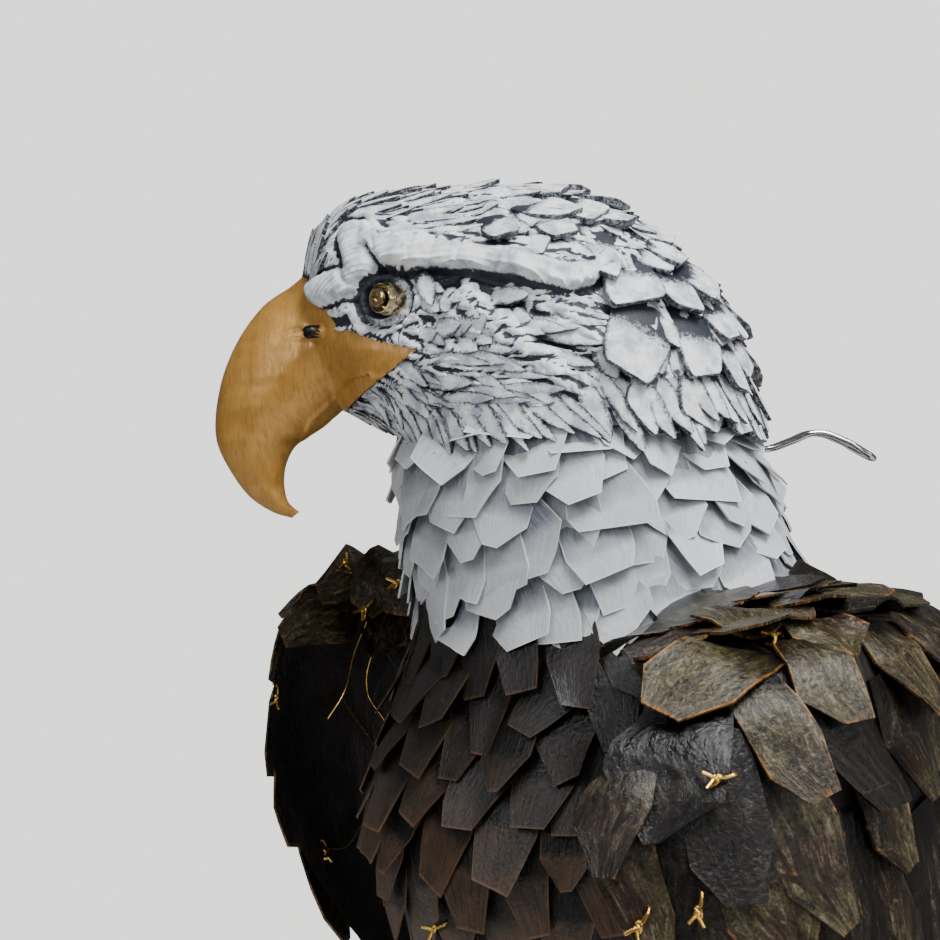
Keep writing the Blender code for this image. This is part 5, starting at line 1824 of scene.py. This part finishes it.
# The left foot: its toes' turns and lengths, and rows of out, height of the middle and radius, for skin and claw.
TOES = [(-36, 0.92), (0, 1.0), (38, 0.9), (172, 0.72)]
TOE_SKIN = [
    (-6, 15, 10.5), (10, 12.5, 10), (26, 9.6, 7.4), (37, 10.5, 8.6), (48, 9.6, 7.0), (56, 10.8, 7.2),
    (63, 12.5, 4.6),
]
TOE_CLAW = [(57, 13.0, 3.8), (63, 14.4, 4.6), (69, 13.6, 3.8), (74, 10.2, 2.7), (77.5, 6.0, 1.6), (79, 2.4, 0.5)]
SHANK = [
    (45, 20, 65.5, 10.5), (45, 20, 56, 10), (45, 18.5, 42, 10.2), (45, 17, 30, 11), (45, 14, 18, 13.6),
    (45, 14, 5, 12),
]


def scute(v, count):
    """The overlap of scales along a limb: rising slowly, falling back sharply, from 0 to 1."""
    share = (v * count) % 1
    return share * step_up(-share, -1.0, -0.86)


def make_foot(side, name):
    """A scaled foot: shank and four toes with overlapping scutes on their upper side, pads below, and claws of
    their own.
    """
    skins, claws = [], []

    def limb(title, rows, count, to_place, bulge):
        def surface(u, v):
            *place, radius = np.moveaxis(along(rows, v), -1, 0)
            angle = 2 * np.pi * u
            upper = np.clip(np.sin(angle) + 0.35, 0, 1)
            grown = radius * (1 + bulge * scute(v, count) * upper - 0.5 * bulge * near(np.sin(angle) - 0.1, 0.12))
            return to_place(*place, grown * np.cos(angle), grown * np.sin(angle))

        piece, u, v = wrapped(title, surface, 28, 72)
        upper = np.clip(np.sin(2 * np.pi * u) + 0.35, 0, 1)
        set_relief(piece, np.clip(0.16 + 0.5 * scute(v, count) + 0.45 * (1 - upper), 0, 0.62))
        return piece

    for number, (turn, length) in enumerate(TOES):
        way = (math.sin(math.radians(turn)), -math.cos(math.radians(turn)))

        def toe(out, high, across, up):
            x = 45 + way[0] * out * length - way[1] * across
            y = 14 + way[1] * out * length + way[0] * across
            return figure(side * x, y, np.maximum(high + up, 0.4))

        skins.append(limb(f"{name}_toe_{number}", TOE_SKIN, 11, toe, 0.13))
        claws.append(limb(f"{name}_claw_{number}", TOE_CLAW, 1, toe, 0.0))
    # Round the shank the scutes are in front, so its rows are turned to face forward.
    skins.append(limb(
        name + "_shank", SHANK, 10, lambda x, y, z, across, up: figure(side * (x + across), y - up, z), 0.09,
    ))
    dress(joined(name + "_skin", skins), "yellow", "yellow_paint", name)
    dress(joined(name + "_claws", claws), "horn", "yellow_paint")


def set_stage():
    bpy.ops.mesh.primitive_circle_add(vertices=96, radius=1.3, fill_type="NGON", location=(0, 0, 0))
    floor = bpy.context.object
    floor.name = "floor"
    material, tree, shader = finish("pale_matt_floor", Roughness=0.8)
    where = add(tree, "TexCoord", give="Object")
    mottled = add(tree, "TexNoise", where, per_mm(40.0), 2, 0.55)
    tree.links.new(
        add(tree, "Mix", mottled, colour("#D6D5D2"), colour("#DDDCDA"), data_type="RGBA"),
        shader.inputs["Base Color"],
    )
    floor.data.materials.append(material)

    world = bpy.data.worlds.new("pale_room")
    bpy.context.scene.world = world
    world.use_nodes = True
    # The room's wall is pale where it is seen, and gives a softer, dimmer light than it shows.
    tree = world.node_tree
    seen = add(tree, "LightPath", give="Is Camera Ray")
    strength = add(tree, "MapRange", seen, None, None, 0.2, 2.25)
    tree.nodes["Background"].inputs["Color"].default_value = colour("#E2E1DF")
    tree.links.new(strength, tree.nodes["Background"].inputs["Strength"])

    def lamp(name, size, power, place, goal, tint="#FFFFFF"):
        data = bpy.data.lights.new(name, "AREA")
        data.shape = "RECTANGLE"
        data.size, data.size_y = size
        data.energy = power
        data.color = colour(tint)[:3]
        light = bpy.data.objects.new(name, data)
        light.location = place
        light.rotation_euler = (Vector(goal) - Vector(place)).to_track_quat("-Z", "Y").to_euler()
        bpy.context.scene.collection.objects.link(light)

    lamp("ceiling_panel", (0.8, 0.8), 46, (0.8, 0.05, 1.85), (0, 0, 0.5))
    lamp("window_front", (0.7, 1.0), 10, (0.6, -1.5, 1.3), (0, 0, 0.5), "#FBFDFF")
    lamp("fill_right", (0.8, 0.8), 5, (1.3, 1.0, 1.0), (0, 0, 0.5))
    lamp("window_right", (0.3, 0.8), 4.5, (1.5, -0.1, 1.05), (0, 0, 0.45))


def set_camera():
    """Level with the neck, square to the head's left side, as the photograph was taken."""
    data = bpy.data.cameras.new("camera")
    data.sensor_width = 36
    data.lens = PIXELS / PICTURE * data.sensor_width
    camera = bpy.data.objects.new("camera", data)
    camera.location = EYE
    camera.rotation_euler = LOOK.to_track_quat("-Z", "Y").to_euler()
    bpy.context.scene.collection.objects.link(camera)
    bpy.context.scene.camera = camera


make_head()
make_slabs()
make_cheek_tips()
make_shards()
make_eye(1, "eye_left")
make_eye(-1, "eye_right")
make_beak()
make_neck()
CHEST = make_torso()
LEFT = make_wing("wing_left", (16, 14, 4, 24, 26, 22, 16, 16), 0, 0, False, 41)
RIGHT = make_wing("wing_right", (0, 4, 7, 0, -8, -10, 0, 0), 18, 12, True, 42)
make_tail()
make_thigh(1, "thigh_left")
make_thigh(-1, "thigh_right")
make_ties([*LEFT, *RIGHT, CHEST], RIGHT)
make_loop()
make_plinth()
make_foot(1, "foot_left")
make_foot(-1, "foot_right")
for plate in [*PLATES.values(), *COVERTS_CUT, QUILL, SLAB, STROKE]:
    bpy.data.objects.remove(plate)
set_stage()
set_camera()
